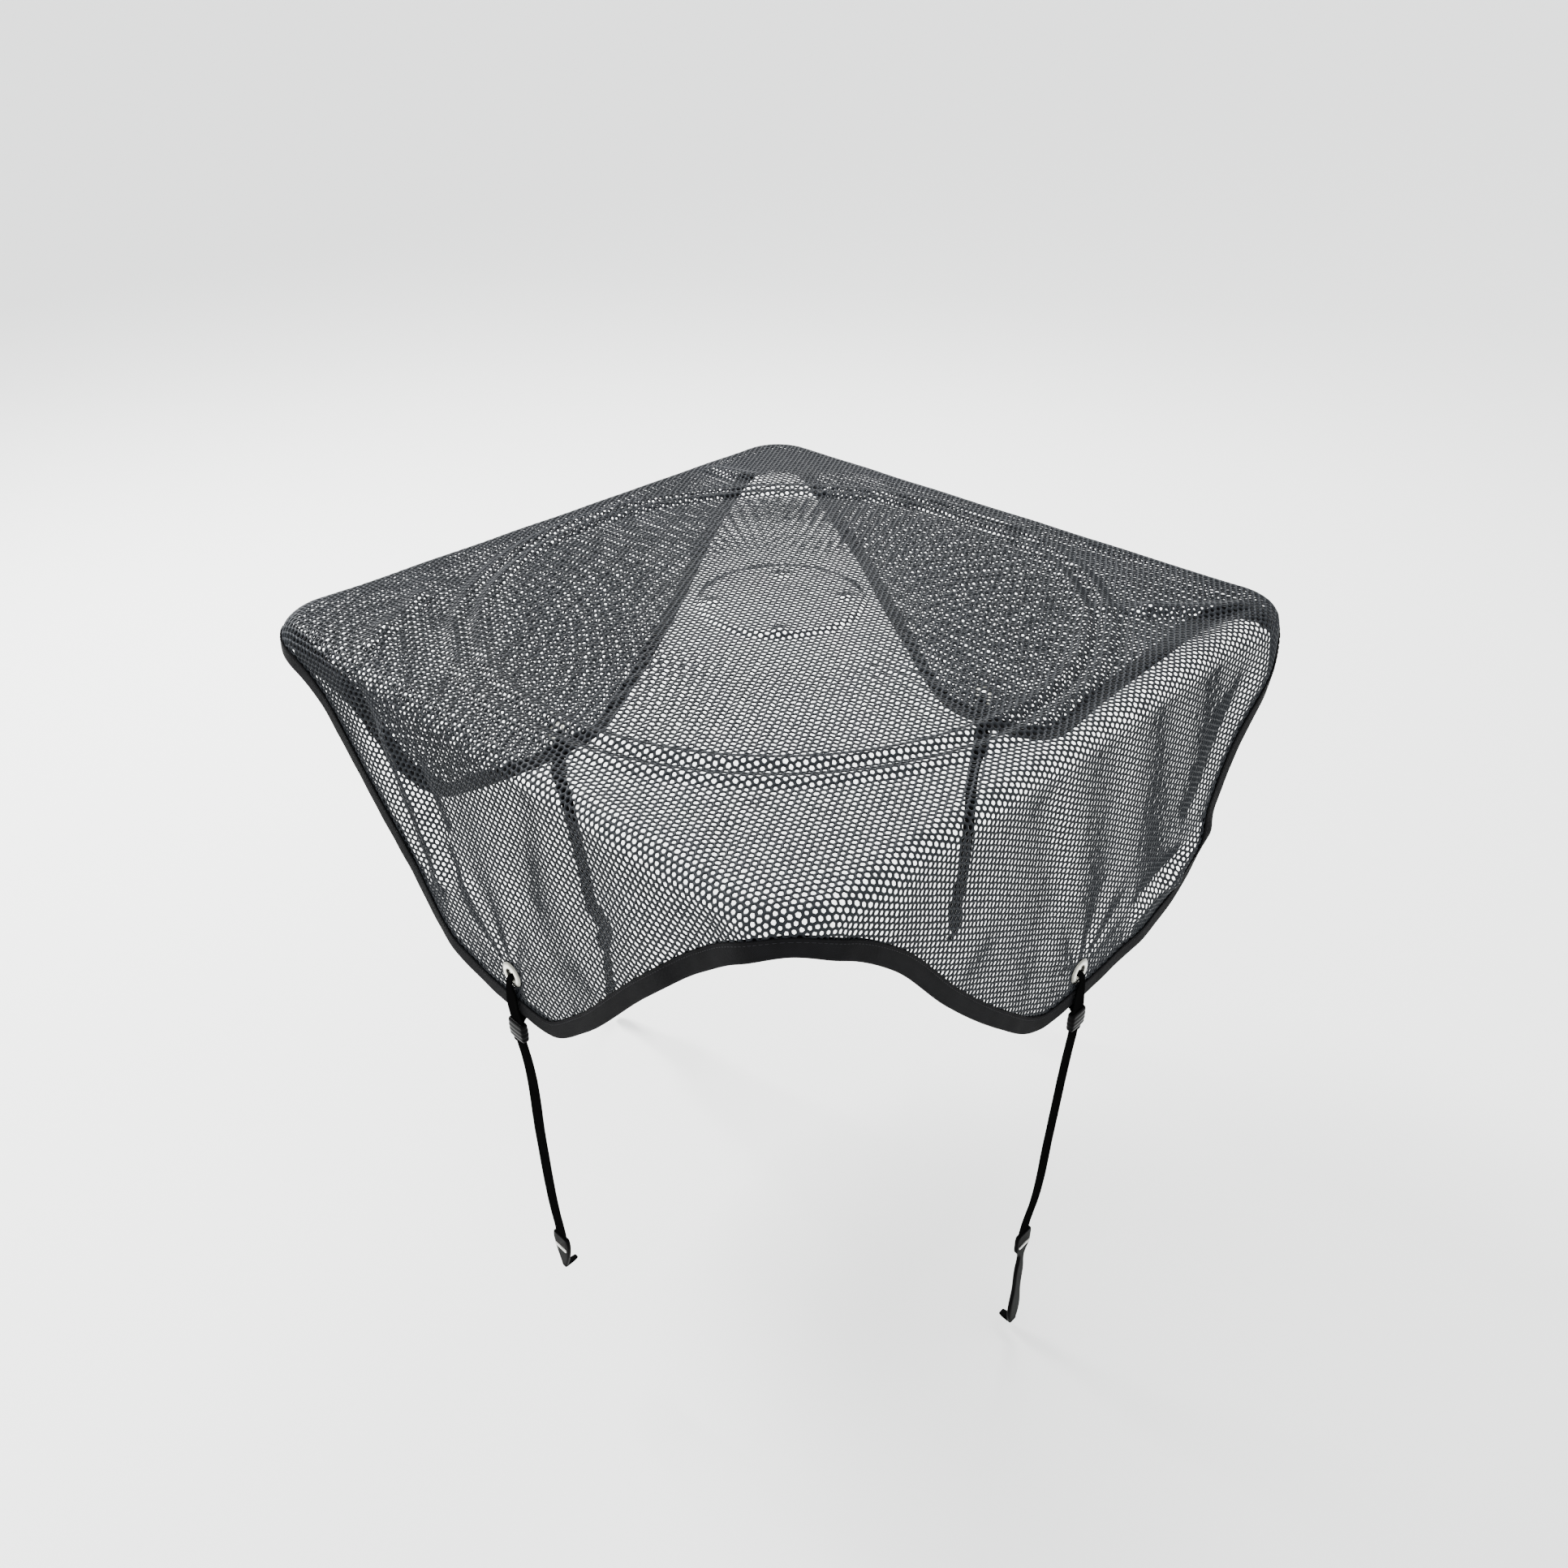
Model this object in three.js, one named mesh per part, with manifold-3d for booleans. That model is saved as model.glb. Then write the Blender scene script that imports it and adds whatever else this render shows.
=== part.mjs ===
// A fitted air conditioner cover of black net. One piece of net makes the flat top,
// the rounded edges and four hanging flaps with a scalloped hem. Tape binds the hem, and through an eyelet in
// each flap goes a webbing strap, with a keeper on its two layers and a flat hook at its lower end.
// Millimetres, +Z up. The origin is the centre of the plane on which the corners of the top lie.
import * as THREE from 'three';
import { mergeVertices } from 'three/addons/utils/BufferGeometryUtils.js';
import Module from 'manifold-3d';

const wasm = await Module();
wasm.setup();

// The cover and its cloth
const SIDE = 800;               // outside width, both ways
const CORNER = 64;              // plan radius of the upright corners, outside
const EDGE = 22;                // radius at which the net turns down over the top's edge
const NET = 2;                  // thickness of the net
const GAP = 0.3;                // between pieces that touch
const TAPE = 1.3;               // thickness of one layer of the binding tape
const TAPE_WIDTH = 20;          // the tape's width on each side of the hem
const TAPE_ROOM = 0.45;         // between the net and the tape, which leaves GAP where the hem slants

// How finely the cloth is divided
const STRAIGHT_STEPS = 24;      // along one side between its corners
const CORNER_STEPS = 6;         // round one corner
const EDGE_STEPS = 3;           // over the rounded edge
const FLAP_STEPS = 5;           // down a flap to the tape
const RIM_STEPS = 3;            // from the outer ring ridge to the edge
const EDGE_SHARE = 0.8;         // most of the way to the tape that the rounded edge's rows may take

// Hem of a flap: how far it hangs below the top, by the distance along the side from its middle
const FRONT_HEM = [
  { along: -340, drop: 46 }, { along: -298, drop: 74 }, { along: -254, drop: 127 },
  { along: -183, drop: 216 }, { along: -125, drop: 292 }, { along: -71, drop: 316 },
  { along: 10, drop: 324 }, { along: 69, drop: 318 }, { along: 121, drop: 276 },
  { along: 222, drop: 166 }, { along: 299, drop: 91 }, { along: 345, drop: 54 },
];
const SIDE_HEM = [
  { along: -345, drop: 53 }, { along: -279, drop: 104 }, { along: -200, drop: 197 },
  { along: -109, drop: 288 }, { along: -46, drop: 338 }, { along: 38, drop: 349 },
  { along: 124, drop: 344 }, { along: 190, drop: 335 }, { along: 235, drop: 318 },
  { along: 276, drop: 264 }, { along: 325, drop: 146 }, { along: 356, drop: 88 },
];

// Round ridges and a raised middle pressed into the top, by radius
const RINGS = [
  { radius: 0, height: 10 }, { radius: 84, height: 10 }, { radius: 95, height: 6 },
  { radius: 200, height: 5 }, { radius: 312, height: 3 }, { radius: 324, height: 8 },
  { radius: 338, height: 1.5 }, { radius: 350, height: 5 }, { radius: 364, height: 0 },
];

// Creases on the top, from and to in X and Y
const CREASES = [
  { from: [-372, 229], to: [-300, 250], width: 20, height: 5 },
  { from: [300, 262], to: [352, 330], width: 22, height: 6 },
  { from: [-300, -262], to: [-262, -330], width: 24, height: 4 },
  { from: [-262, -330], to: [-240, -366], width: 24, height: 4 },
];

// Folds in the flaps, from and to in distance along the side and height; they die out round the eyelet
const FRONT_FOLDS = [
  { from: [-215, -44], to: [-138, -200], width: 24, height: -6 },
  { from: [-168, -60], to: [-108, -205], width: 24, height: 7 },
  { from: [-118, -75], to: [-78, -175], width: 22, height: -5 },
  { from: [250, -40], to: [150, -190], width: 40, height: 4 },
];
const SIDE_FOLDS = [
  { from: [150, -290], to: [215, -282], width: 26, height: 6 },
  { from: [215, -282], to: [275, -245], width: 26, height: 6 },
  { from: [345, -60], to: [386, -40], width: 50, height: 9 },
  { from: [-270, -45], to: [-170, -150], width: 40, height: 4 },
];
const FOLD_FREE = { from: 60, to: 115 };   // distance from the eyelet over which a fold comes up

// Eyelets, webbing, keepers and hooks
const EYELET = { inner: 7.5, lip: 8.2, barrel: 8.9, crown: 12.5, outer: 15, height: 3.2, sides: 16 };
const WEB = { width: 20, thick: 1.6, loopWidth: 9, loopThick: 2.2 };
const LOOP = {
  radius: 5.5, below: 8, spread: 26, steps: 6,   // the bend of the webbing through the eyelet
  gathered: 15, outsideAbove: 6, insideAbove: 3,
};
const UNDER_HEM = [{ out: -4, below: 2.5 }, { out: -1, below: 5 }, { out: 1.8, below: 7.5 }];
const KEEPER = {
  width: 26, depth: 10, height: 24, round: 4, roundSteps: 3,
  belowHem: 11, aside: 2, out: 4, tail: 8, entry: 2,
};
const HOOK = {
  thick: 5, widest: 40, socket: 12, straightAbove: 4, lipReach: 14, lipThick: 4,
  barLength: 20, barHeight: 3, barDepth: 2, barBelow: 20,
};

// Half widths of a hook by the distance below its top
const SHORT_HOOK = [
  { below: 0, half: 12.5 }, { below: 10, half: 14 }, { below: 30, half: 11 }, { below: 50, half: 5 },
  { below: 56, half: 3 },
];
const LONG_HOOK = [
  { below: 0, half: 12.5 }, { below: 8, half: 14 }, { below: 26, half: 13 }, { below: 40, half: 5 },
  { below: 50, half: 5 }, { below: 64, half: 7 }, { below: 165, half: 7 }, { below: 171, half: 4 },
];

// How a strap hangs: its eyelet, its way down from the keeper to the hook, and its hook
const FRONT_STRAP = {
  eyelet: { along: 0, z: -275 },
  way: [{ along: 8, z: -388 }, { along: 11, z: -508 }, { along: 17, z: -625 }],
  hook: { along: 22, top: -664, outline: SHORT_HOOK },
};
const SIDE_STRAP = {
  eyelet: { along: 37, z: -306 },
  way: [{ along: 33, z: -425 }, { along: 19, z: -544 }, { along: 7, z: -640 }],
  hook: { along: -8, top: -686, outline: LONG_HOOK },
};

// The four sides, counter-clockwise from above; cornerDrop is the hem's drop at the corner after the side
const SIDES = [
  { name: 'front', out: [0, -1], hem: FRONT_HEM, folds: FRONT_FOLDS, strap: FRONT_STRAP, cornerDrop: 38 },
  { name: 'right', out: [1, 0], hem: SIDE_HEM, folds: SIDE_FOLDS, strap: SIDE_STRAP, cornerDrop: 46 },
  { name: 'back', out: [0, 1], hem: FRONT_HEM, folds: FRONT_FOLDS, strap: FRONT_STRAP, cornerDrop: 40 },
  { name: 'left', out: [-1, 0], hem: SIDE_HEM, folds: SIDE_FOLDS, strap: SIDE_STRAP, cornerDrop: 37 },
];

// Worked out from the sizes above, on the middle of the net's thickness
const MIDDLE = SIDE / 2 - NET / 2;                  // from the origin to a flap
const TOP_HALF = MIDDLE - EDGE;                     // from the origin to where the edge's round starts
const TOP_CORNER = CORNER - NET / 2 - EDGE;         // plan radius of that line at a corner
const STRAIGHT = TOP_HALF - TOP_CORNER;             // half of a side's straight stretch
const REACH = STRAIGHT + (CORNER - NET / 2) * Math.PI / 4;   // from a side's middle to a corner's middle
const EDGE_LENGTH = EDGE * Math.PI / 2;
const TAPE_INNER = NET / 2 + TAPE_ROOM;
const TAPE_OUTER = TAPE_INNER + TAPE;

const MATERIALS = {
  net: { color: 0x25272a, roughness: 0.8, metalness: 0 },
  tape: { color: 0x101113, roughness: 0.75, metalness: 0 },
  webbing: { color: 0x0c0c0e, roughness: 0.8, metalness: 0 },
  eyelet: { color: 0xd8d4c6, roughness: 0.3, metalness: 0.9 },
  plastic: { color: 0x0e0f10, roughness: 0.4, metalness: 0 },
  steel: { color: 0xb9b9b4, roughness: 0.35, metalness: 0.9 },
};

const smooth = (value, low, high) => THREE.MathUtils.smoothstep(value, low, high);

// Height at a position on a smooth curve through the rows of a table, level at both ends
function curveThrough(rows, position) {
  const last = rows.length - 1;
  const next = THREE.MathUtils.clamp(rows.findIndex((row) => row.x > position), 1, last);
  const index = position >= rows[last].x ? last : next;
  const slopeAt = (i) => (i === 0 || i === last ? 0
    : (rows[i + 1].y - rows[i - 1].y) / (rows[i + 1].x - rows[i - 1].x));
  const a = rows[index - 1];
  const b = rows[index];
  const span = b.x - a.x;
  const t = THREE.MathUtils.clamp((position - a.x) / span, 0, 1);
  const straightA = (1 + 2 * t) * (1 - t) ** 2;
  const straightB = t * t * (3 - 2 * t);
  const bendA = t * (1 - t) ** 2 * span;
  const bendB = t * t * (t - 1) * span;
  return straightA * a.y + straightB * b.y + bendA * slopeAt(index - 1) + bendB * slopeAt(index);
}

// How far the hem of a side hangs below the top
function hemDrop(side, along) {
  const before = SIDES[(side + 3) % 4].cornerDrop;
  const rows = SIDES[side].hem.map((row) => ({ x: row.along, y: row.drop }));
  rows.unshift({ x: -REACH, y: before });
  rows.push({ x: REACH, y: SIDES[side].cornerDrop });
  return curveThrough(rows, along);
}

// A soft ridge or trough along a stretch, highest on its line
function ridge(row, x, y) {
  const [ax, ay] = row.from;
  const dx = row.to[0] - ax;
  const dy = row.to[1] - ay;
  const t = THREE.MathUtils.clamp(((x - ax) * dx + (y - ay) * dy) / (dx * dx + dy * dy), 0, 1);
  const away = Math.hypot(x - ax - t * dx, y - ay - t * dy);
  return row.height * Math.exp(-((away / row.width) ** 2));
}

// How far the flaps stand out or in at a place of the whole perimeter
function flapRelief(side, along, z) {
  let sum = 0;
  let free = 1;
  for (const step of [-1, 0, 1]) {
    const other = SIDES[(side + step + 4) % 4];
    const there = along - step * 2 * REACH;
    const { eyelet } = other.strap;
    sum += other.folds.reduce((total, row) => total + ridge(row, there, z), 0);
    free *= smooth(Math.hypot(there - eyelet.along, z - eyelet.z), FOLD_FREE.from, FOLD_FREE.to);
  }
  return sum * free;
}

// How far the top stands up at a place inside its flat outline
function topRelief(x, y) {
  const radius = Math.hypot(x, y);
  const row = RINGS.findIndex((ring) => ring.radius > radius);
  const low = RINGS[row - 1];
  const high = RINGS[row];
  const rings = row < 0 ? 0
    : THREE.MathUtils.mapLinear(radius, low.radius, high.radius, low.height, high.height);
  return rings + CREASES.reduce((total, crease) => total + ridge(crease, x, y), 0);
}

// The places round the cover where its profile is worked out, with the flat top's outline point of each
function perimeterStations() {
  const list = [];
  SIDES.forEach((side, index) => {
    const out = new THREE.Vector2(...side.out);
    const way = new THREE.Vector2(-out.y, out.x);
    for (let i = 0; i < STRAIGHT_STEPS; i += 1) {
      const along = THREE.MathUtils.lerp(-STRAIGHT, STRAIGHT, i / STRAIGHT_STEPS);
      const base = out.clone().multiplyScalar(TOP_HALF).addScaledVector(way, along);
      list.push({ side: index, along, out, base });
    }
    const centre = out.clone().add(way).multiplyScalar(STRAIGHT);
    for (let i = 0; i < CORNER_STEPS; i += 1) {
      const angle = (i / CORNER_STEPS) * Math.PI / 2;
      const turned = out.clone().multiplyScalar(Math.cos(angle)).addScaledVector(way, Math.sin(angle));
      const base = centre.clone().addScaledVector(turned, TOP_CORNER);
      const travelled = STRAIGHT + (CORNER - NET / 2) * angle;
      const past = travelled > REACH;
      list.push({
        side: past ? (index + 1) % 4 : index,
        along: past ? travelled - 2 * REACH : travelled,
        out: turned,
        base,
      });
    }
  });
  return list;
}

const STATIONS = perimeterStations();

// Length of the profile from the flat top's outline to the hem's lower edge
const profileLength = (station) => (
  EDGE_LENGTH + hemDrop(station.side, station.along) + NET / 2 - EDGE
);

// A point of the cloth at a distance down the profile, and off the cloth's middle by the last value
function onProfile(station, down, off) {
  const angle = Math.min(down / EDGE, Math.PI / 2);
  const across = EDGE * Math.sin(angle);
  const z = NET / 2 - EDGE * (1 - Math.cos(angle)) - Math.max(down - EDGE_LENGTH, 0);
  const relief = flapRelief(station.side, station.along, z) * smooth(down, 0, EDGE_LENGTH);
  const level = Math.sin(angle) * (relief + off);
  const spot = station.base.clone().addScaledVector(station.out, across + level);
  return new THREE.Vector3(spot.x, spot.y, z + Math.cos(angle) * (relief + off));
}

function onTop(x, y, off) {
  return new THREE.Vector3(x, y, NET / 2 + topRelief(x, y) + off);
}

// A mesh geometry from points and triangles, turned so that its faces point out
function solidGeometry(points, triangles) {
  let volume = 0;
  for (const [a, b, c] of triangles) {
    volume += points[a].dot(new THREE.Vector3().crossVectors(points[b], points[c]));
  }
  const turned = volume < 0 ? triangles.map(([a, b, c]) => [a, c, b]) : triangles;
  const geometry = new THREE.BufferGeometry();
  const values = points.flatMap((point) => [point.x, point.y, point.z]);
  geometry.setAttribute('position', new THREE.Float32BufferAttribute(values, 3));
  geometry.setIndex(turned.flat());
  geometry.computeVertexNormals();
  return geometry;
}

// The same from one of the library's own shapes, whose seams are closed first
function closedShape(shape) {
  const bare = shape.clone();
  bare.deleteAttribute('normal');
  bare.deleteAttribute('uv');
  const { attributes, index } = mergeVertices(bare, 1e-4);
  const { position } = attributes;
  const points = Array.from({ length: position.count }, (unused, i) => (
    new THREE.Vector3().fromBufferAttribute(position, i)
  ));
  const triangles = Array.from({ length: index.count / 3 }, (unused, i) => (
    [index.getX(3 * i), index.getX(3 * i + 1), index.getX(3 * i + 2)]
  ));
  return solidGeometry(points, triangles.filter(([a, b, c]) => a !== b && b !== c && c !== a));
}

// A closed section carried along rows; the rows close on themselves or end in flat caps. From the given
// place in the section on, the squares are split along their other diagonal
function carriedSection(rows, closed, crossedFrom = Infinity) {
  const count = rows[0].length;
  const triangles = [];
  const last = closed ? rows.length : rows.length - 1;
  for (let j = 0; j < last; j += 1) {
    const here = j * count;
    const there = ((j + 1) % rows.length) * count;
    for (let i = 0; i < count; i += 1) {
      const next = (i + 1) % count;
      if (i < crossedFrom) {
        triangles.push([here + i, there + i, there + next], [here + i, there + next, here + next]);
      } else {
        triangles.push([here + i, there + i, here + next], [there + i, there + next, here + next]);
      }
    }
  }
  if (!closed) {
    const end = (rows.length - 1) * count;
    for (let i = 1; i < count - 1; i += 1) {
      triangles.push([0, i, i + 1], [end, end + i + 1, end + i]);
    }
  }
  return solidGeometry(rows.flat(), triangles);
}

function toManifold(geometry) {
  return new wasm.Manifold(new wasm.Mesh({
    numProp: 3,
    vertProperties: new Float32Array(geometry.attributes.position.array),
    triVerts: new Uint32Array(geometry.index.array),
  }));
}

function toGeometry(solid) {
  const mesh = solid.getMesh();
  const geometry = new THREE.BufferGeometry();
  geometry.setAttribute('position', new THREE.Float32BufferAttribute(mesh.vertProperties, 3));
  geometry.setIndex([...mesh.triVerts]);
  geometry.computeVertexNormals();
  return geometry;
}

// Rows of the net from its middle outwards: each gives a point for a station and an offset
function netRows() {
  const rows = [];
  const circle = (station, radius) => station.base.clone().setLength(radius);
  for (const ring of RINGS.slice(1)) {
    rows.push({
      sparse: true,
      place: (station, off) => {
        const spot = circle(station, ring.radius);
        return onTop(spot.x, spot.y, off);
      },
    });
  }
  const rim = RINGS[RINGS.length - 1].radius;
  for (let i = 1; i < RIM_STEPS; i += 1) {
    rows.push({
      place: (station, off) => {
        const spot = circle(station, rim).lerp(station.base, i / RIM_STEPS);
        return onTop(spot.x, spot.y, off);
      },
    });
  }
  const tapeTop = (station) => profileLength(station) - TAPE_WIDTH;
  const edgeEnd = (station) => Math.min(EDGE_LENGTH, tapeTop(station) * EDGE_SHARE);
  for (let i = 0; i <= EDGE_STEPS; i += 1) {
    rows.push({ place: (station, off) => onProfile(station, edgeEnd(station) * i / EDGE_STEPS, off) });
  }
  for (let i = 1; i <= FLAP_STEPS; i += 1) {
    rows.push({
      place: (station, off) => {
        const down = THREE.MathUtils.lerp(edgeEnd(station), tapeTop(station), i / FLAP_STEPS);
        return onProfile(station, down, off);
      },
    });
  }
  for (const up of [TAPE_WIDTH / 2, TAPE + GAP + 2 * TAPE_ROOM]) {
    rows.push({ place: (station, off) => onProfile(station, profileLength(station) - up, off) });
  }
  return rows;
}

// The net: an upper and a lower skin over the same rows, joined along the hem; the inner rows are sparse
function netGeometry() {
  const rows = netRows();
  const points = [];
  const triangles = [];
  const skins = [NET / 2, -NET / 2].map((off) => {
    const centre = points.push(onTop(0, 0, off)) - 1;
    const rings = rows.map((row) => {
      const stations = row.sparse ? STATIONS.filter((station, i) => i % 2 === 0) : STATIONS;
      const first = points.length;
      stations.forEach((station) => points.push(row.place(station, off)));
      return { first, count: stations.length };
    });
    return { centre, rings };
  });
  skins.forEach(({ centre, rings }, skin) => {
    const add = (a, b, c) => triangles.push(skin === 0 ? [a, b, c] : [a, c, b]);
    const first = rings[0];
    for (let i = 0; i < first.count; i += 1) {
      add(centre, first.first + i, first.first + (i + 1) % first.count);
    }
    for (let j = 0; j < rings.length - 1; j += 1) {
      const near = rings[j];
      const far = rings[j + 1];
      const at = (ring, i) => ring.first + i % ring.count;
      for (let i = 0; i < near.count; i += 1) {
        if (near.count === far.count) {
          add(at(near, i), at(far, i), at(far, i + 1));
          add(at(near, i), at(far, i + 1), at(near, i + 1));
        } else {
          add(at(near, i), at(far, 2 * i), at(far, 2 * i + 1));
          add(at(near, i), at(far, 2 * i + 1), at(near, i + 1));
          add(at(near, i + 1), at(far, 2 * i + 1), at(far, 2 * i + 2));
        }
      }
    }
  });
  const outer = skins[0].rings.at(-1);
  const inner = skins[1].rings.at(-1);
  for (let i = 0; i < outer.count; i += 1) {
    const next = (i + 1) % outer.count;
    triangles.push([outer.first + i, inner.first + i, inner.first + next]);
    triangles.push([outer.first + i, inner.first + next, outer.first + next]);
  }
  return solidGeometry(points, triangles);
}

// The tape: a narrow U closed round the hem, over the net's edge
function bindingGeometry() {
  const floor = TAPE + GAP;
  const outline = [
    [TAPE_OUTER, TAPE_WIDTH], [TAPE_OUTER, TAPE_WIDTH / 2], [TAPE_OUTER, floor], [0, 0],
    [-TAPE_OUTER, floor], [-TAPE_OUTER, TAPE_WIDTH / 2], [-TAPE_OUTER, TAPE_WIDTH],
    [-TAPE_INNER, TAPE_WIDTH], [-TAPE_INNER, TAPE_WIDTH / 2], [-TAPE_INNER, floor],
    [TAPE_INNER, floor], [TAPE_INNER, TAPE_WIDTH / 2], [TAPE_INNER, TAPE_WIDTH],
  ];
  const risingWall = outline.length - 3;
  const rows = STATIONS.map((station) => (
    outline.map(([off, up]) => onProfile(station, profileLength(station) - up, off))
  ));
  return carriedSection(rows, true, risingWall);
}

// A point by its distance along a side, outwards from the flap's middle surface, and up
function onSide(side, along, out, z) {
  const [x, y] = SIDES[side].out;
  return new THREE.Vector3(x * (MIDDLE + out) - y * along, y * (MIDDLE + out) + x * along, z);
}

// The frame of a piece on a side: its Y points outwards and its Z up
function sideFrame(side, along, out, z) {
  const [x, y] = SIDES[side].out;
  const matrix = new THREE.Matrix4().makeBasis(
    new THREE.Vector3(y, -x, 0),
    new THREE.Vector3(x, y, 0),
    new THREE.Vector3(0, 0, 1),
  );
  return matrix.setPosition(onSide(side, along, out, z));
}

// A pressed eyelet: a barrel through the net with a flange on each side, turned about the flap's normal
function eyeletGeometry(side) {
  const { inner, lip, barrel, crown, outer, height, sides } = EYELET;
  const seat = NET / 2 + GAP;
  const half = [[barrel, seat], [outer, seat], [crown, height], [lip, height], [inner, seat]];
  const profile = [...half, ...half.map(([r, y]) => [r, -y]).reverse()];
  profile.push(profile[0]);
  const { along, z } = SIDES[side].strap.eyelet;
  const lathe = new THREE.LatheGeometry(profile.map(([r, y]) => new THREE.Vector2(r, y)), sides);
  return closedShape(lathe).applyMatrix4(sideFrame(side, along, 0, z));
}

// The plug of net that an eyelet's barrel takes out
function eyeletHole(side) {
  const radius = (EYELET.barrel + GAP) / Math.cos(Math.PI / EYELET.sides);
  const { along, z } = SIDES[side].strap.eyelet;
  const hole = closedShape(new THREE.CylinderGeometry(radius, radius, 10 * NET, EYELET.sides));
  return toManifold(hole.applyMatrix4(sideFrame(side, along, 0, z)));
}

// Where a strap's keeper sits
function keeperPlace(side) {
  const { eyelet } = SIDES[side].strap;
  const top = -hemDrop(side, eyelet.along) - KEEPER.belowHem;
  return { top, bottom: top - KEEPER.height, along: eyelet.along + KEEPER.aside };
}

// The webbing's way: its tail in the keeper, up outside the flap, through the eyelet, down inside,
// under the hem, back through the keeper and down to the hook
function strapRoute(side) {
  const { eyelet, way, hook } = SIDES[side].strap;
  const keeper = keeperPlace(side);
  const layer = (WEB.thick + GAP) / 2;
  const { along } = eyelet;
  const full = { width: WEB.width, thick: WEB.thick };
  const gathered = { width: LOOP.gathered, thick: WEB.thick };
  const drawn = { width: WEB.loopWidth, thick: WEB.loopThick };
  const bend = eyelet.z - LOOP.below;
  const hem = keeper.top + KEEPER.belowHem;
  const route = [
    { along: keeper.along, out: KEEPER.out + layer, z: keeper.bottom - KEEPER.tail, ...full },
    { along: keeper.along, out: KEEPER.out + layer, z: keeper.top + KEEPER.entry, ...full },
    { along, out: LOOP.radius, z: hem + LOOP.outsideAbove, ...full },
    { along, out: LOOP.radius, z: bend - LOOP.spread / 2, ...gathered },
  ];
  for (let i = 0; i <= LOOP.steps; i += 1) {
    const angle = (i / LOOP.steps) * Math.PI;
    route.push({
      along,
      out: LOOP.radius * Math.cos(angle),
      z: bend + LOOP.radius * Math.sin(angle),
      ...drawn,
    });
  }
  route.push(
    { along, out: -LOOP.radius, z: bend - LOOP.spread / 2, ...gathered },
    { along, out: -LOOP.radius, z: hem + LOOP.insideAbove, ...full },
  );
  UNDER_HEM.forEach(({ out, below }) => {
    route.push({ along: keeper.along, out, z: hem - below, ...full });
  });
  route.push(
    { along: keeper.along, out: KEEPER.out - layer, z: keeper.top + KEEPER.entry, ...full },
    { along: keeper.along, out: KEEPER.out - layer, z: keeper.bottom - KEEPER.entry, ...full },
  );
  way.forEach((row) => route.push({ along: row.along, out: KEEPER.out - layer, z: row.z, ...full }));
  route.push({ along: hook.along, out: KEEPER.out - layer, z: hook.top + HOOK.straightAbove, ...full });
  route.push({ along: hook.along, out: KEEPER.out - layer, z: hook.top - HOOK.socket, ...full });
  return route;
}

// A hook's middle lies on the rear layer of the webbing, which its socket takes
function hookOut() {
  return KEEPER.out - (WEB.thick + GAP) / 2;
}

function strapGeometry(side) {
  const route = strapRoute(side);
  const points = route.map((row) => onSide(side, row.along, row.out, row.z));
  const acrossWay = onSide(side, 1, 0, 0).sub(onSide(side, 0, 0, 0));
  const rows = route.map((row, i) => {
    const before = points[Math.max(i - 1, 0)];
    const after = points[Math.min(i + 1, points.length - 1)];
    const face = new THREE.Vector3().crossVectors(after.clone().sub(before), acrossWay).normalize();
    const corners = [[-1, -1], [1, -1], [1, 1], [-1, 1]];
    return corners.map(([a, b]) => points[i].clone()
      .addScaledVector(acrossWay, a * row.width / 2)
      .addScaledVector(face, b * row.thick / 2));
  });
  return carriedSection(rows, false);
}

function roundedOutline(path, width, depth, radius) {
  const x = width / 2 - radius;
  const y = depth / 2 - radius;
  [[x, -y, -1], [x, y, 0], [-x, y, 1], [-x, -y, 2]].forEach(([cx, cy, quarter]) => {
    path.absarc(cx, cy, radius, quarter * Math.PI / 2, (quarter + 1) * Math.PI / 2, false);
  });
  return path;
}

// The keeper: a short sleeve round both layers of the webbing
function keeperGeometry(side) {
  const place = keeperPlace(side);
  const slotWidth = WEB.width + 2 * GAP;
  const slotDepth = 2 * WEB.thick + 3 * GAP;
  const outline = roundedOutline(new THREE.Shape(), KEEPER.width, KEEPER.depth, KEEPER.round);
  const slot = new THREE.Path();
  slot.moveTo(-slotWidth / 2, -slotDepth / 2);
  slot.lineTo(slotWidth / 2, -slotDepth / 2);
  slot.lineTo(slotWidth / 2, slotDepth / 2);
  slot.lineTo(-slotWidth / 2, slotDepth / 2);
  slot.closePath();
  outline.holes.push(slot);
  const sleeve = new THREE.ExtrudeGeometry(outline, {
    depth: KEEPER.height, bevelEnabled: false, curveSegments: KEEPER.roundSteps,
  });
  return closedShape(sleeve).applyMatrix4(sideFrame(side, place.along, KEEPER.out, place.bottom));
}

function boxSolid([width, depth, height], [x, y, z]) {
  return toManifold(closedShape(new THREE.BoxGeometry(width, depth, height)).translate(x, y, z));
}

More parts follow.
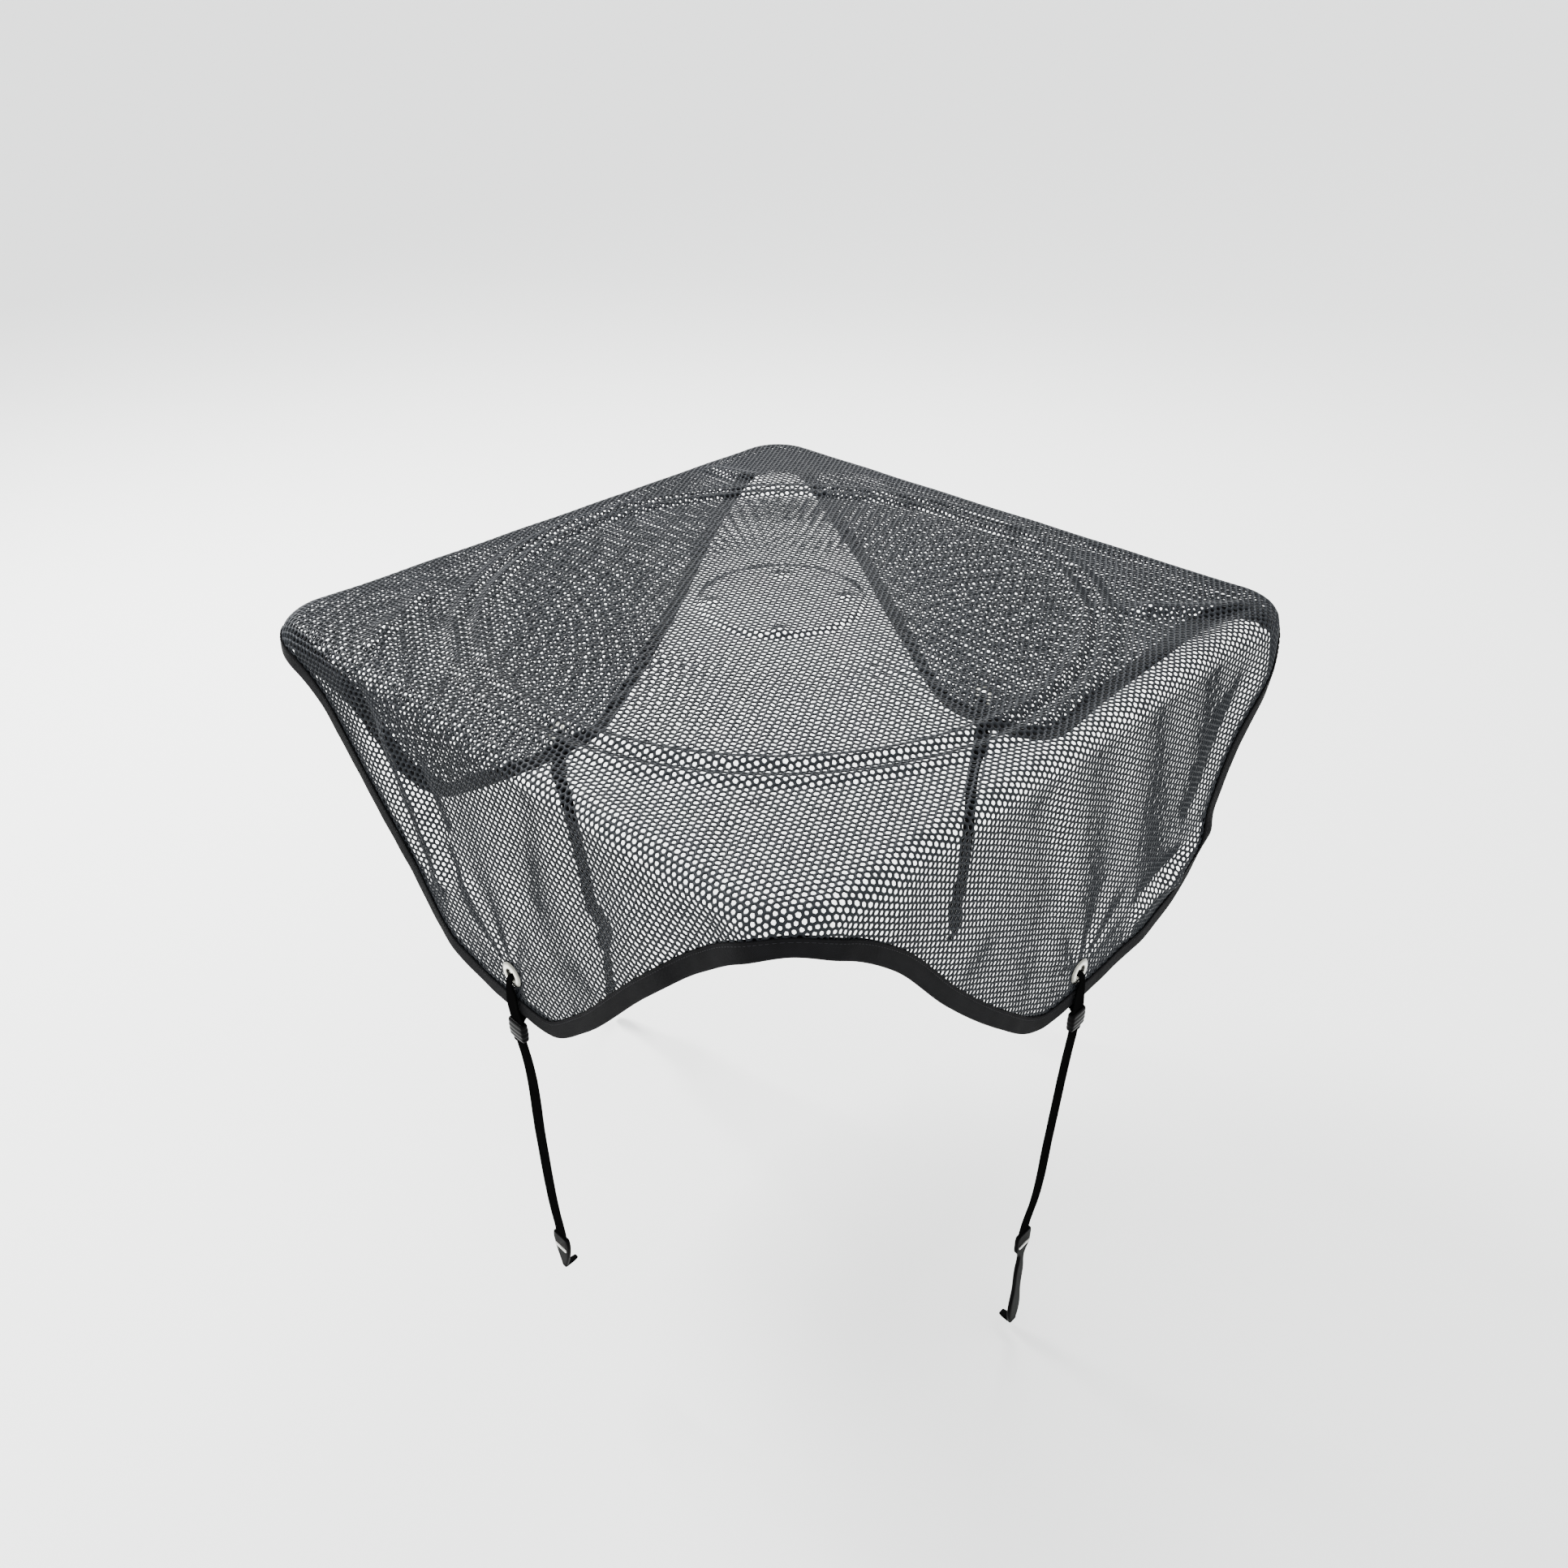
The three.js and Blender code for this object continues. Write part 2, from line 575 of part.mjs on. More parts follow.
// The hook: a flat tongue cut to its outline, with a lip that turns in at the foot, a socket for the
// webbing at the top and a seat for the bar
function hookGeometry(side) {
  const { hook } = SIDES[side].strap;
  const rows = hook.outline;
  const foot = rows.at(-1).below;
  const room = 2 * GAP;
  const tongue = new THREE.Shape([
    ...rows.map((row) => new THREE.Vector2(row.half, -row.below)),
    ...rows.map((row) => new THREE.Vector2(-row.half, -row.below)).reverse(),
  ]);
  const depth = 2 * (HOOK.thick + HOOK.lipReach);
  const standing = closedShape(new THREE.ExtrudeGeometry(tongue, { depth, bevelEnabled: false }));
  standing.rotateX(Math.PI / 2).translate(0, depth / 2, 0);
  const plate = boxSolid([HOOK.widest, HOOK.thick, foot], [0, 0, -foot / 2]);
  const lip = boxSolid(
    [HOOK.widest, HOOK.lipReach, HOOK.lipThick],
    [0, -HOOK.lipReach / 2, HOOK.lipThick / 2 - foot],
  );
  const socket = boxSolid([WEB.width + room, WEB.thick + room, 2 * HOOK.socket + room], [0, 0, 0]);
  const seat = boxSolid(
    [HOOK.barLength + room, HOOK.barDepth, HOOK.barHeight + room],
    [0, HOOK.thick / 2, -HOOK.barBelow],
  );
  const solid = plate.add(lip).intersect(toManifold(standing)).subtract(socket).subtract(seat);
  return toGeometry(solid).applyMatrix4(sideFrame(side, hook.along, hookOut(), hook.top));
}

// The bar across a hook, standing proud of its seat
function hookBarGeometry(side) {
  const { hook } = SIDES[side].strap;
  const bar = new THREE.BoxGeometry(HOOK.barLength, HOOK.barDepth, HOOK.barHeight);
  const out = hookOut() + HOOK.thick / 2 + GAP;
  return closedShape(bar).applyMatrix4(sideFrame(side, hook.along, out, hook.top - HOOK.barBelow));
}

const cover = new THREE.Group();

function addPiece(name, geometry, look) {
  const mesh = new THREE.Mesh(geometry, new THREE.MeshStandardMaterial(MATERIALS[look]));
  mesh.name = name;
  cover.add(mesh);
}

const sides = SIDES.map((side, index) => index);
const pierced = sides.reduce((net, side) => net.subtract(eyeletHole(side)), toManifold(netGeometry()));
addPiece('net_cover', toGeometry(pierced), 'net');
addPiece('hem_binding', bindingGeometry(), 'tape');
sides.forEach((side) => {
  const { name } = SIDES[side];
  addPiece(`eyelet_${name}`, eyeletGeometry(side), 'eyelet');
  addPiece(`strap_${name}`, strapGeometry(side), 'webbing');
  addPiece(`keeper_${name}`, keeperGeometry(side), 'plastic');
  addPiece(`hook_${name}`, hookGeometry(side), 'plastic');
  addPiece(`hook_bar_${name}`, hookBarGeometry(side), 'steel');
});

export default cover;
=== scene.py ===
# %% [markdown]
# # A fitted air conditioner cover of black net
#
# One cut of open net makes a flat top and four flaps. Tape binds its scalloped hem, and each flap has
# an eyelet with a webbing strap, a keeper and a flat hook. Every visible piece is a surface worked out
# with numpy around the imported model, which is loaded first and never moved.

# %% Load the frame
import math

import bpy
import numpy as np
from mathutils import Matrix, Vector


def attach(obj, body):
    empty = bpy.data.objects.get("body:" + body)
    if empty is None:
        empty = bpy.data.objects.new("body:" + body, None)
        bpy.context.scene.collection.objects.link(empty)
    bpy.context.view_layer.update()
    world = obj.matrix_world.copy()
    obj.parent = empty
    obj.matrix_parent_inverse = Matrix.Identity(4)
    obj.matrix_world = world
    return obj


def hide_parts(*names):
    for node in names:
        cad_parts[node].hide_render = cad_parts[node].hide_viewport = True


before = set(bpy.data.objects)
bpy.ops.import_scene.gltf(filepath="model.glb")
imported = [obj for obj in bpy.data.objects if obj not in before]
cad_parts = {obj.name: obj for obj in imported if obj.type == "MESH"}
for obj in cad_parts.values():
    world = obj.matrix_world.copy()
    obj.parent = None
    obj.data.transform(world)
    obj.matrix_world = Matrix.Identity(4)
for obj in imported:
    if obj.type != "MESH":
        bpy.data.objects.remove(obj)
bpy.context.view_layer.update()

# %% [markdown]
# ## Sizes
#
# The cover's own sizes repeat those of the solids, in metres. Sides are counted counter-clockwise from
# above: front, right, back, left. A place on the cover is told by `t`, how far round the top's outline
# it is, and `q`, how far down the cloth from that outline. The hidden sides repeat the tables of the
# ones opposite.

# %% Sizes of the cover
MM = 0.001
SIDE = 800 * MM
CORNER = 64 * MM
EDGE = 22 * MM
NET = 2 * MM

MIDDLE = SIDE / 2 - NET / 2
TOP_HALF = MIDDLE - EDGE
BEND = CORNER - NET / 2
TOP_CORNER = BEND - EDGE
STRAIGHT = TOP_HALF - TOP_CORNER
REACH = STRAIGHT + BEND * math.pi / 4
QUARTER = math.pi / 2
ROUND = 8 * REACH
EDGE_LENGTH = EDGE * QUARTER

NAMES = ("front", "right", "back", "left")
print(f"round the outline: {ROUND:.3f} m")

# %% [markdown]
# ## The tables
#
# The hem, the folds and the ridges are short tables read off, a row for each turn or fold.
# Smooth curves through a few rows look like cloth, and they are easy to change by hand.

# %% Tables of the hem, the ridges and the folds, in millimetres
# Distance along the side from its middle, drop of the hem
FRONT_HEM = [
    (-340, 46), (-298, 74), (-254, 127), (-183, 216), (-125, 292), (-71, 316), (10, 324), (69, 318),
    (121, 276), (222, 166), (299, 91), (345, 54)]
SIDE_HEM = [
    (-345, 53), (-279, 104), (-200, 197), (-109, 288), (-46, 338), (38, 349), (124, 344), (190, 335),
    (235, 318), (276, 264), (325, 146), (356, 88)]
HEMS = (FRONT_HEM, SIDE_HEM) * 2
CORNER_DROPS = (38, 46, 40, 37)

# Radius, height of the round ridges on the top
RINGS = np.array([
    (0, 10), (84, 10), (95, 6), (200, 5), (312, 3), (324, 8), (338, 1.5), (350, 5), (364, 0),
    (600, 0)]) * MM

# From x and y, to x and y, width, height
CREASES = np.array([
    (-388, 229, -300, 250, 12, 5), (300, 262, 385, 355, 12, 6), (260, 225, 300, 262, 12, 3),
    (-300, -262, -262, -330, 13, 4), (-262, -330, -240, -366, 13, 4), (-330, -236, -300, -262, 14, 3),
    (262, -330, 300, -378, 12, -3)]) * MM
DENTS = np.array([
    (-40, 40, -40, 40, 8, 3), (-46, -60, -46, -60, 8, 3), (54, -58, 54, -58, 8, 3),
    (51, 48, 51, 48, 8, 3)]) * MM

# From distance along the side and height, to the same, width, how far it stands out
FRONT_FOLDS = np.array([
    (-215, -30, -138, -200, 17, -6), (-168, -60, -108, -205, 15, 7), (-118, -75, -78, -175, 14, -5),
    (-86, -150, -40, -225, 12, 4), (250, -40, 150, -190, 30, 4), (310, -44, 262, -110, 16, -3),
    (60, -40, 40, -150, 26, -3)]) * MM
SIDE_FOLDS = np.array([
    (150, -290, 215, -282, 15, 6), (215, -282, 275, -245, 15, 6), (150, -268, 222, -258, 13, -4),
    (345, -60, 386, -40, 50, 9), (-270, -45, -170, -150, 30, 4), (300, -60, 240, -190, 20, -4),
    (-60, -50, -20, -170, 24, -3)]) * MM
FOLDS = (FRONT_FOLDS, SIDE_FOLDS) * 2

# Distance along the side and height of each eyelet
EYELETS = np.array([(0, -275), (37, -306)] * 2) * MM
print("folds a side:", [len(rows) for rows in FOLDS])

# %% [markdown]
# ## Smooth steps, curves and ridges
#
# Three small formulas shape everything: a smooth step, a curve through a table's rows, and a ridge with
# a bell shape across its line. They take whole arrays, so no point needs a loop.


# %% Helpers for shapes
# Keeps a division away from zero
TINY = 1e-9


def one_long(vectors):
    """Each vector over its own length."""
    return vectors / np.maximum(np.linalg.norm(vectors, axis=1, keepdims=True), TINY)


def turned(side, out, along):
    """x and y, so far out from the middle and so far along the side: a turn by the side's quarters."""
    cosine, sine = np.cos((side - 1) * QUARTER), np.sin((side - 1) * QUARTER)
    return np.stack([out * cosine - along * sine, out * sine + along * cosine], -1)


def smooth(value, low, high):
    """0 below low, 1 above high, and 3u^2 - 2u^3 between, where u is the share of the way."""
    u = np.clip((value - low) / (high - low), 0, 1)
    return u * u * (3 - 2 * u)


def through(x, knots, values, slopes):
    """On each span between two knots, the cubic with the two values and the two slopes at its ends."""
    i = np.clip(np.searchsorted(knots, x, side="right") - 1, 0, len(knots) - 2)
    span = knots[i + 1] - knots[i]
    u = np.clip((x - knots[i]) / span, 0, 1)
    level = (1 + 2 * u) * (1 - u) ** 2 * values[i] + u * u * (3 - 2 * u) * values[i + 1]
    bend = u * (1 - u) ** 2 * slopes[i] + u * u * (u - 1) * slopes[i + 1]
    return level + bend * span


def ridges(rows, x, y):
    """Sum over the rows of height times exp(-(distance to the row's line / width)^2)."""
    total = np.zeros(np.shape(x))
    for x0, y0, x1, y1, width, height in rows:
        dx, dy = x1 - x0, y1 - y0
        length = max(dx * dx + dy * dy, TINY)
        u = np.clip(((x - x0) * dx + (y - y0) * dy) / length, 0, 1)
        away = np.hypot(x - x0 - u * dx, y - y0 - u * dy)
        total += height * np.exp(-((away / width) ** 2))
    return total


print("half way up a step:", smooth(0.5, 0, 1))

# %% [markdown]
# ## The hem round the whole cover
#
# The four tables are strung into one closed curve over `t`. At the corners the hem is level, which
# gives the round arches that the real cover has there.


# %% The hem as one closed curve
def hem_knots():
    """Knots, drops and slopes round the cover: a level knot at each corner, the tables' rows between."""
    knots, drops, level = [], [], []
    for side in range(4):
        knots += [2 * side * REACH] + [(2 * side + 1) * REACH + along * MM for along, _ in HEMS[side]]
        drops += [CORNER_DROPS[side - 1] * MM] + [drop * MM for _, drop in HEMS[side]]
        level += [True] + [False] * len(HEMS[side])
    knots, drops = np.array(knots + [ROUND]), np.array(drops + [CORNER_DROPS[3] * MM])
    slopes = np.gradient(drops, knots)
    slopes[np.array(level + [True])] = 0
    return knots, drops, slopes


HEM = hem_knots()


def hem_drop(t):
    """How far the hem hangs below the top at t."""
    return through(np.mod(t, ROUND), *HEM)


def cloth_length(t):
    """Length of cloth from the top's outline to the hem's lower edge at t."""
    return EDGE_LENGTH + hem_drop(t) + NET / 2 - EDGE


def hem_slope(t, step=1 * MM):
    """How fast the hem drops at t: the difference over a short step each way."""
    return (hem_drop(t + step) - hem_drop(t - step)) / (2 * step)


def hem_cosine(t):
    """Cosine of the hem's slope at t: a level step over the slanting one."""
    return 1 / np.hypot(1, hem_slope(t))


HEM_SAMPLES = 4001
samples = np.linspace(0, ROUND, HEM_SAMPLES)
spans = np.hypot(np.diff(samples), np.diff(hem_drop(samples)))
travelled = np.concatenate([[0], np.cumsum(spans)])
hem_length = float(np.sum(spans))
print(f"hem: {hem_length:.3f} m, deepest {hem_drop(samples).max():.3f} m")

# %% [markdown]
# ## How the cloth lies
#
# The top carries ridges where it lies over something round, with fine ribs inside the ring. The flaps
# carry folds that die out at the eyelets, where the strap pulls the cloth flat, and puckers that fan
# out upwards from each. A slow swell keeps every stretch uneven, as hanging cloth is.

# %% Relief of the top and of the flaps
# Each pair of distances is where a smooth step starts and where it ends
RIBS = 96
RIB_HEIGHT = 0.9 * MM
RIB_START = (0.11, 0.19)
RIB_END = (0.29, 0.312)
PAST_RINGS = (0.35, 0.40)
TOP_EDGE_FADE = (0, 18 * MM)
PUCKERS = 9
PUCKER_HEIGHT = 1.2 * MM
PUCKER_START = (16 * MM, 34 * MM)
PUCKER_END = (50 * MM, 150 * MM)
PUCKER_FAN = (0.1, 0.7)
EYELET_FLAT_ZONE = (60 * MM, 115 * MM)

# Waves round the cover, down it and over its top, the last two in radians a metre
WAVES = 9
WAVES_ROUND = (5, 38)
WAVES_DOWN = (4, 22)
WAVES_TOP = (-34, 34)
SWELL_HEIGHT = 0.4 * MM
TOP_SWELL_HEIGHT = 0.8 * MM
rng = np.random.default_rng(11)
SWELLS = np.stack([rng.integers(*WAVES_ROUND, WAVES), rng.uniform(*WAVES_DOWN, WAVES),
                   rng.uniform(0, math.tau, WAVES)], 1)
TOP_SWELLS = np.stack([rng.uniform(*WAVES_TOP, WAVES), rng.uniform(*WAVES_TOP, WAVES),
                       rng.uniform(0, math.tau, WAVES)], 1)


def top_relief(x, y, inside):
    """A curve that is level at each row of RINGS, plus ribs, dents, creases and a swell."""
    radius, angle = np.hypot(x, y), np.arctan2(y, x)
    rings = through(radius, *RINGS.T, np.zeros(len(RINGS)))
    ribbed = smooth(radius, *RIB_START) * (1 - smooth(radius, *RIB_END))
    ribs = RIB_HEIGHT * np.cos(RIBS * angle) * ribbed
    swell = sum(np.sin(a * x + b * y + c) for a, b, c in TOP_SWELLS) * TOP_SWELL_HEIGHT
    creases = ridges(CREASES, x, y) + swell * smooth(radius, *PAST_RINGS)
    return rings + ribs + ridges(DENTS, x, y) + creases * smooth(inside, *TOP_EDGE_FADE)


def flap_relief(t, z):
    """Folds and swell of every side, held flat round the eyelets, plus the puckers above each eyelet."""
    folds, free, puckers = np.zeros(np.shape(t)), 1.0, 0.0
    for side in range(4):
        there = np.mod(t - (2 * side + 1) * REACH + ROUND / 2, ROUND) - ROUND / 2
        across, up = there - EYELETS[side, 0], z - EYELETS[side, 1]
        away, angle = np.hypot(across, up), np.arctan2(across, up)
        folds += ridges(FOLDS[side], there, z)
        free = free * smooth(away, *EYELET_FLAT_ZONE)
        fan = smooth(away, *PUCKER_START) * (1 - smooth(away, *PUCKER_END))
        puckers += np.cos(PUCKERS * angle + side) * fan * smooth(np.cos(angle), *PUCKER_FAN)
    swell = sum(np.sin(math.tau * round(n) * t / ROUND + k * z + c) for n, k, c in SWELLS)
    return (folds + SWELL_HEIGHT * swell) * free + PUCKER_HEIGHT * puckers


print("swells:", len(SWELLS) + len(TOP_SWELLS))

# %% [markdown]
# ## From the outline to the hanging cloth
#
# The top's outline is a square with round corners. Past it the cloth turns over an arc and hangs
# straight down, and its relief is laid off along its own normal.


# %% Places on the hanging cloth
def outline(t):
    """Outline point and outward direction at t: straight along a side, then turning round its corner."""
    side = np.floor(np.mod(t, ROUND) / (2 * REACH))
    along = np.mod(t, ROUND) - (2 * side + 1) * REACH
    turn = np.maximum(np.abs(along) - STRAIGHT, 0) / BEND * np.sign(along)
    out = turned(side, np.cos(turn), np.sin(turn))
    return turned(side, STRAIGHT, np.clip(along, -STRAIGHT, STRAIGHT)) + out * TOP_CORNER, out


def hanging(t, q, off):
    """The cloth q past the outline: an arc of radius EDGE, straight down, then off along the normal."""
    base, out = outline(t)
    angle = np.clip(q / EDGE, 0, QUARTER)
    z = NET / 2 - EDGE * (1 - np.cos(angle)) - np.maximum(q - EDGE_LENGTH, 0)
    away = off + flap_relief(t, z) * smooth(q, 0, EDGE_LENGTH)
    spot = base + out * (np.sin(angle) * (EDGE + away))[..., None]
    return np.concatenate([spot, (z + np.cos(angle) * away)[..., None]], -1)


print("the front hem's middle lies at", hanging(REACH, cloth_length(REACH), 0).round(3))

# %% [markdown]
# ## From the flat cut to the cover
#
# A maker cuts the net flat and draws it over. Here too every point of the net starts on the flat cut.
# Inside the outline it stays there. Outside it keeps its distance from the outline, and round a corner
# the cloth is gathered, mostly near the hem.


# %% Lay flat points on the cover
# How far past the outline the gathering at a corner fades out, from none of it left in to all
GATHER = (55 * MM, 110 * MM)


def around(x, y):
    """Side that reaches out most, distance along it with a corner's arc drawn in to BEND, and q."""
    side = np.select([-y >= np.abs(x), x >= np.abs(y), y >= np.abs(x)], [0, 1, 2], 3)
    # The side's own turn, taken back
    outward, lateral = np.moveaxis(turned(2 - side, x, y), -1, 0)
    past, beyond = np.maximum(np.abs(lateral) - STRAIGHT, 0), outward - STRAIGHT
    radius = np.hypot(past, np.maximum(beyond, 0))
    inner = np.minimum(np.maximum(np.abs(lateral) - STRAIGHT, beyond), 0)
    q = radius + inner - TOP_CORNER
    wide = BEND + np.maximum(radius - BEND, 0) * smooth(q, *GATHER)
    along = np.clip(lateral, -STRAIGHT, STRAIGHT)
    along = along + wide * np.arctan2(past, np.maximum(beyond, TINY)) * np.sign(lateral)
    return side, along, q


def lay(x, y, off):
    """Flat points on the cover: raised by the top's relief inside the outline, hanging outside it."""
    side, along, q = around(x, y)
    top = np.stack([x, y, NET / 2 + top_relief(x, y, -q) + off], -1)
    hung = hanging((2 * side + 1) * REACH + along, np.maximum(q, 0), off)
    return np.where((q > 0)[..., None], hung, top)


flat_hem = float(cloth_length(samples).max() + TOP_HALF)
print(f"the cut is {2 * flat_hem:.2f} m across from flap to flap")

# %% [markdown]
# ## The net
#
# The net is an even mesh of six-sided openings, its rows along a side. A texture with holes would have
# no thickness and no silhouette, so the strands are modelled. Each opening has a ring of faces on
# either skin, from the strands' crest down to the opening's rim, and neighbours share their crests,
# which keeps it cheap. Round each eyelet the openings are pushed aside, as the real ones are.

# %% Lattice of openings on the flat cut
PITCH = 6.9 * MM
STRAND_WIDTH = 3.2 * MM
STRAND_THICK = 2.5 * MM
HEM_MARGIN = 8 * MM
SPREAD = 9.6 * MM
PUSHED_WITHIN = 8 * SPREAD
SHAKE = 0.30 * MM
WANDER = 1.5 * MM
WANDER_WAVES = 6
WANDER_RATE = 42
CORNER_LENGTH = PITCH / math.sqrt(3)
# How near an opening may lie to an eyelet's middle, and how far along a side
NO_OPENING = 0.6 * PITCH
SIDE_END = 1.001 * REACH

rows = int(flat_hem / (1.5 * CORNER_LENGTH)) + 1
columns = int(flat_hem / PITCH) + 1
j, i = np.mgrid[-rows:rows + 1, -columns:columns + 1]
step_x, step_y = (2 * i + j % 2).ravel(), (3 * j).ravel()
centre_x, centre_y = step_x * PITCH / 2, step_y * CORNER_LENGTH / 2

eyelet_out = TOP_HALF + EDGE_LENGTH + NET / 2 - EDGE - EYELETS[:, 1]
EYELET_FLAT = turned(np.arange(4), eyelet_out, EYELETS[:, 0])
clear = np.min([np.hypot(centre_x - a, centre_y - b) for a, b in EYELET_FLAT], axis=0) > NO_OPENING
centre_side, centre_along, centre_q = around(centre_x, centre_y)
centre_t = (2 * centre_side + 1) * REACH + centre_along
inside = (cloth_length(centre_t) - centre_q) * hem_cosine(centre_t) > HEM_MARGIN
kept = clear & inside & (np.abs(centre_along) <= SIDE_END)
print("openings in the net:", int(kept.sum()))

# %% [markdown]
# Each opening has six corners, numbered on a grid of half-steps, so neighbours give a shared corner the
# same number. A slow wander and a small shake of each corner make the net uneven.

# %% Corners of the openings, shared by neighbours
key_x = step_x[kept, None] + np.array([1, 0, -1, -1, 0, 1])
key_y = step_y[kept, None] + np.array([1, 2, 1, -1, -2, -1])
WIDE = 4096
keys, corner_of = np.unique((key_x + WIDE) * 2 * WIDE + key_y + WIDE, return_inverse=True)
corner_of = corner_of.reshape(-1, 6)
flat_x = (keys // (2 * WIDE) - WIDE) * PITCH / 2
flat_y = (keys % (2 * WIDE) - WIDE) * CORNER_LENGTH / 2

rng = np.random.default_rng(5)
waves = rng.uniform(-WANDER_RATE, WANDER_RATE, (WANDER_WAVES, 2))
phases = rng.uniform(0, math.tau, (WANDER_WAVES, 2))
turns = flat_x[:, None] * waves[:, 0] + flat_y[:, None] * waves[:, 1]
flat_x = flat_x + WANDER * np.sin(turns + phases[:, 0]).mean(1) + rng.normal(0, SHAKE, len(keys))
flat_y = flat_y + WANDER * np.sin(turns + phases[:, 1]).mean(1) + rng.normal(0, SHAKE, len(keys))
for a, b in EYELET_FLAT:
    away = np.maximum(np.hypot(flat_x - a, flat_y - b), TINY)
    pushed = np.where(away < PUSHED_WITHIN, np.cbrt(away**3 + SPREAD**3) / away, 1)
    flat_x, flat_y = a + (flat_x - a) * pushed, b + (flat_y - b) * pushed
print("corners of openings:", len(keys))

# %% [markdown]
# The strands' crests stand half their thickness off the cloth on either side, and the openings' rims
# lie in its middle. Shading normals are averaged before the net is parted, so its four pieces show no
# line between them. Each is closed with a narrow wall where it ends.

# %% Points and faces of the net
# A strand's width varies by this share, at most this many times over
WIDTH_SHARE = 0.10
WIDTH_LIMIT = 2

cells = len(corner_of)
uneven = np.clip(rng.standard_normal((cells, 1)), -WIDTH_LIMIT, WIDTH_LIMIT)
open_share = 1 - STRAND_WIDTH / PITCH * (1 + WIDTH_SHARE * uneven)


def rims(flat):
    """The openings' corners, drawn in to the openings' middles by the share that the strands take."""
    middle = flat[corner_of].mean(1, keepdims=True)
    return (middle + (flat[corner_of] - middle) * open_share).ravel()


half = np.full(len(keys), STRAND_THICK / 2)
all_x = np.concatenate([flat_x, flat_x, rims(flat_x)])
all_y = np.concatenate([flat_y, flat_y, rims(flat_y)])
net_points = lay(all_x, all_y, np.concatenate([half, -half, np.zeros(6 * cells)]))
net_flat = np.stack([all_x, all_y], -1)
upper, lower = corner_of, corner_of + len(keys)
rim = np.arange(6 * cells).reshape(-1, 6) + 2 * len(keys)
after = [1, 2, 3, 4, 5, 0]
top_faces = np.stack([upper, upper[:, after], rim[:, after], rim], -1)
under_faces = np.stack([lower[:, after], lower, rim, rim[:, after]], -1)


def point_normals(points, quads):
    """Each point's normal: the sum of its faces' normals, longer for larger faces, made one long."""
    a, b, c, d = (points[quads[:, n]] for n in range(4))
    face = np.cross(c - a, d - b)
    total = np.zeros_like(points)
    for n in range(4):
        for axis in range(3):
            total[:, axis] += np.bincount(quads[:, n], face[:, axis], len(points))
    return one_long(total)


net_faces = np.concatenate([top_faces.reshape(-1, 4), under_faces.reshape(-1, 4)])
net_normals = point_normals(net_points, net_faces)
print("points:", len(net_points), "faces:", len(net_faces))

# %% [markdown]
# ## Making mesh objects
#
# One helper puts arrays straight into a mesh. Its UV map, where a piece has one, follows the cloth, so
# a weave runs along the tape or the strap and not along the room's axes.


# %% Mesh helper
def new_object(name, data):
    """An object of this data, linked into the scene."""
    made = bpy.data.objects.new(name, data)
    bpy.context.scene.collection.objects.link(made)
    return made


def piece(name, points, quads, uv=None, normals=None, sharp=None, uv_name="weave"):
    """An object at the origin, from points and faces; a face that names a corner twice is a triangle."""
    mesh = bpy.data.meshes.new(name)
    own = quads != np.roll(quads, -1, axis=1)
    corners = quads[own]
    mesh.vertices.add(len(points))
    mesh.vertices.foreach_set("co", np.asarray(points, np.float32).ravel())
    mesh.loops.add(len(corners))
    mesh.loops.foreach_set("vertex_index", corners.astype(np.int32))
    mesh.polygons.add(len(quads))
    mesh.polygons.foreach_set("loop_start", (np.cumsum(own.sum(1)) - own.sum(1)).astype(np.int32))
    mesh.update(calc_edges=True)
    mesh.shade_smooth()
    if uv is not None:
        layer = mesh.uv_layers.new(name=uv_name)
        layer.data.foreach_set("uv", np.asarray(uv, np.float32)[own].ravel())
    if normals is not None:
        mesh.normals_split_custom_set_from_vertices(normals.tolist())
    if sharp is not None:
        mesh.set_sharp_from_angle(angle=math.radians(sharp))
    return new_object(name, mesh)


def boundary_walls(quads, skin):
    """A wall behind each crest that only one opening has, from the upper skin to the lower one."""
    edge = quads[:, :2]
    code = np.sort(edge, 1) @ np.array([1, skin * 2])
    _, where, count = np.unique(code, return_inverse=True, return_counts=True)
    lone = edge[count[where] == 1]
    return np.stack([lone[:, 1], lone[:, 0], lone[:, 0] + skin, lone[:, 1] + skin], -1)


# %% [markdown]
# The net is stored in four light pieces, one to a side. They meet along the lattice, and each is
# unwrapped in three strips: its upper skin, its lower skin and its narrow walls.

# %% The net in four pieces
# Width of a strip of the UV map, and the distance from one strip to the next
STRIP = 0.32
STRIP_STEP = 0.34

net_pieces, net_areas, net_sizes = [], [], []
cell_side = centre_side[kept]
CELL_AREA = math.sqrt(3) / 2 * PITCH**2
for side, name in enumerate(NAMES):
    mine = cell_side == side
    tops, unders = top_faces[mine].reshape(-1, 4), under_faces[mine].reshape(-1, 4)
    walls = boundary_walls(tops, len(keys))
    faces = np.concatenate([tops, unders, walls])
    used, local = np.unique(faces, return_inverse=True)
    local = local.reshape(-1, 4)
    flat = net_flat[faces]
    low, high = flat.min((0, 1)), flat.max((0, 1))
    uv = (flat - low) / (high - low) * [STRIP, 1]
    uv[len(tops):, :, 0] += STRIP_STEP
    uv[len(tops) + len(unders):, :, 0] += STRIP_STEP
    made = piece(f"net_{name}", net_points[used], local, uv, net_normals[used], uv_name="OFBake")
    net_pieces.append(made)
    net_areas.append(float(mine.sum() * CELL_AREA))
    net_sizes.append(tuple(float(v) for v in high - low))
    print(made.name, "faces:", len(faces), f"cut area: {net_areas[-1]:.3f} m2")

# %% [markdown]
# ## The tape round the hem
#
# The tape is folded double over the cut edge. A U-shaped section is carried along the hem, square to
# it, and closes on itself. On the outside the tape ripples slightly where it was eased round curves.

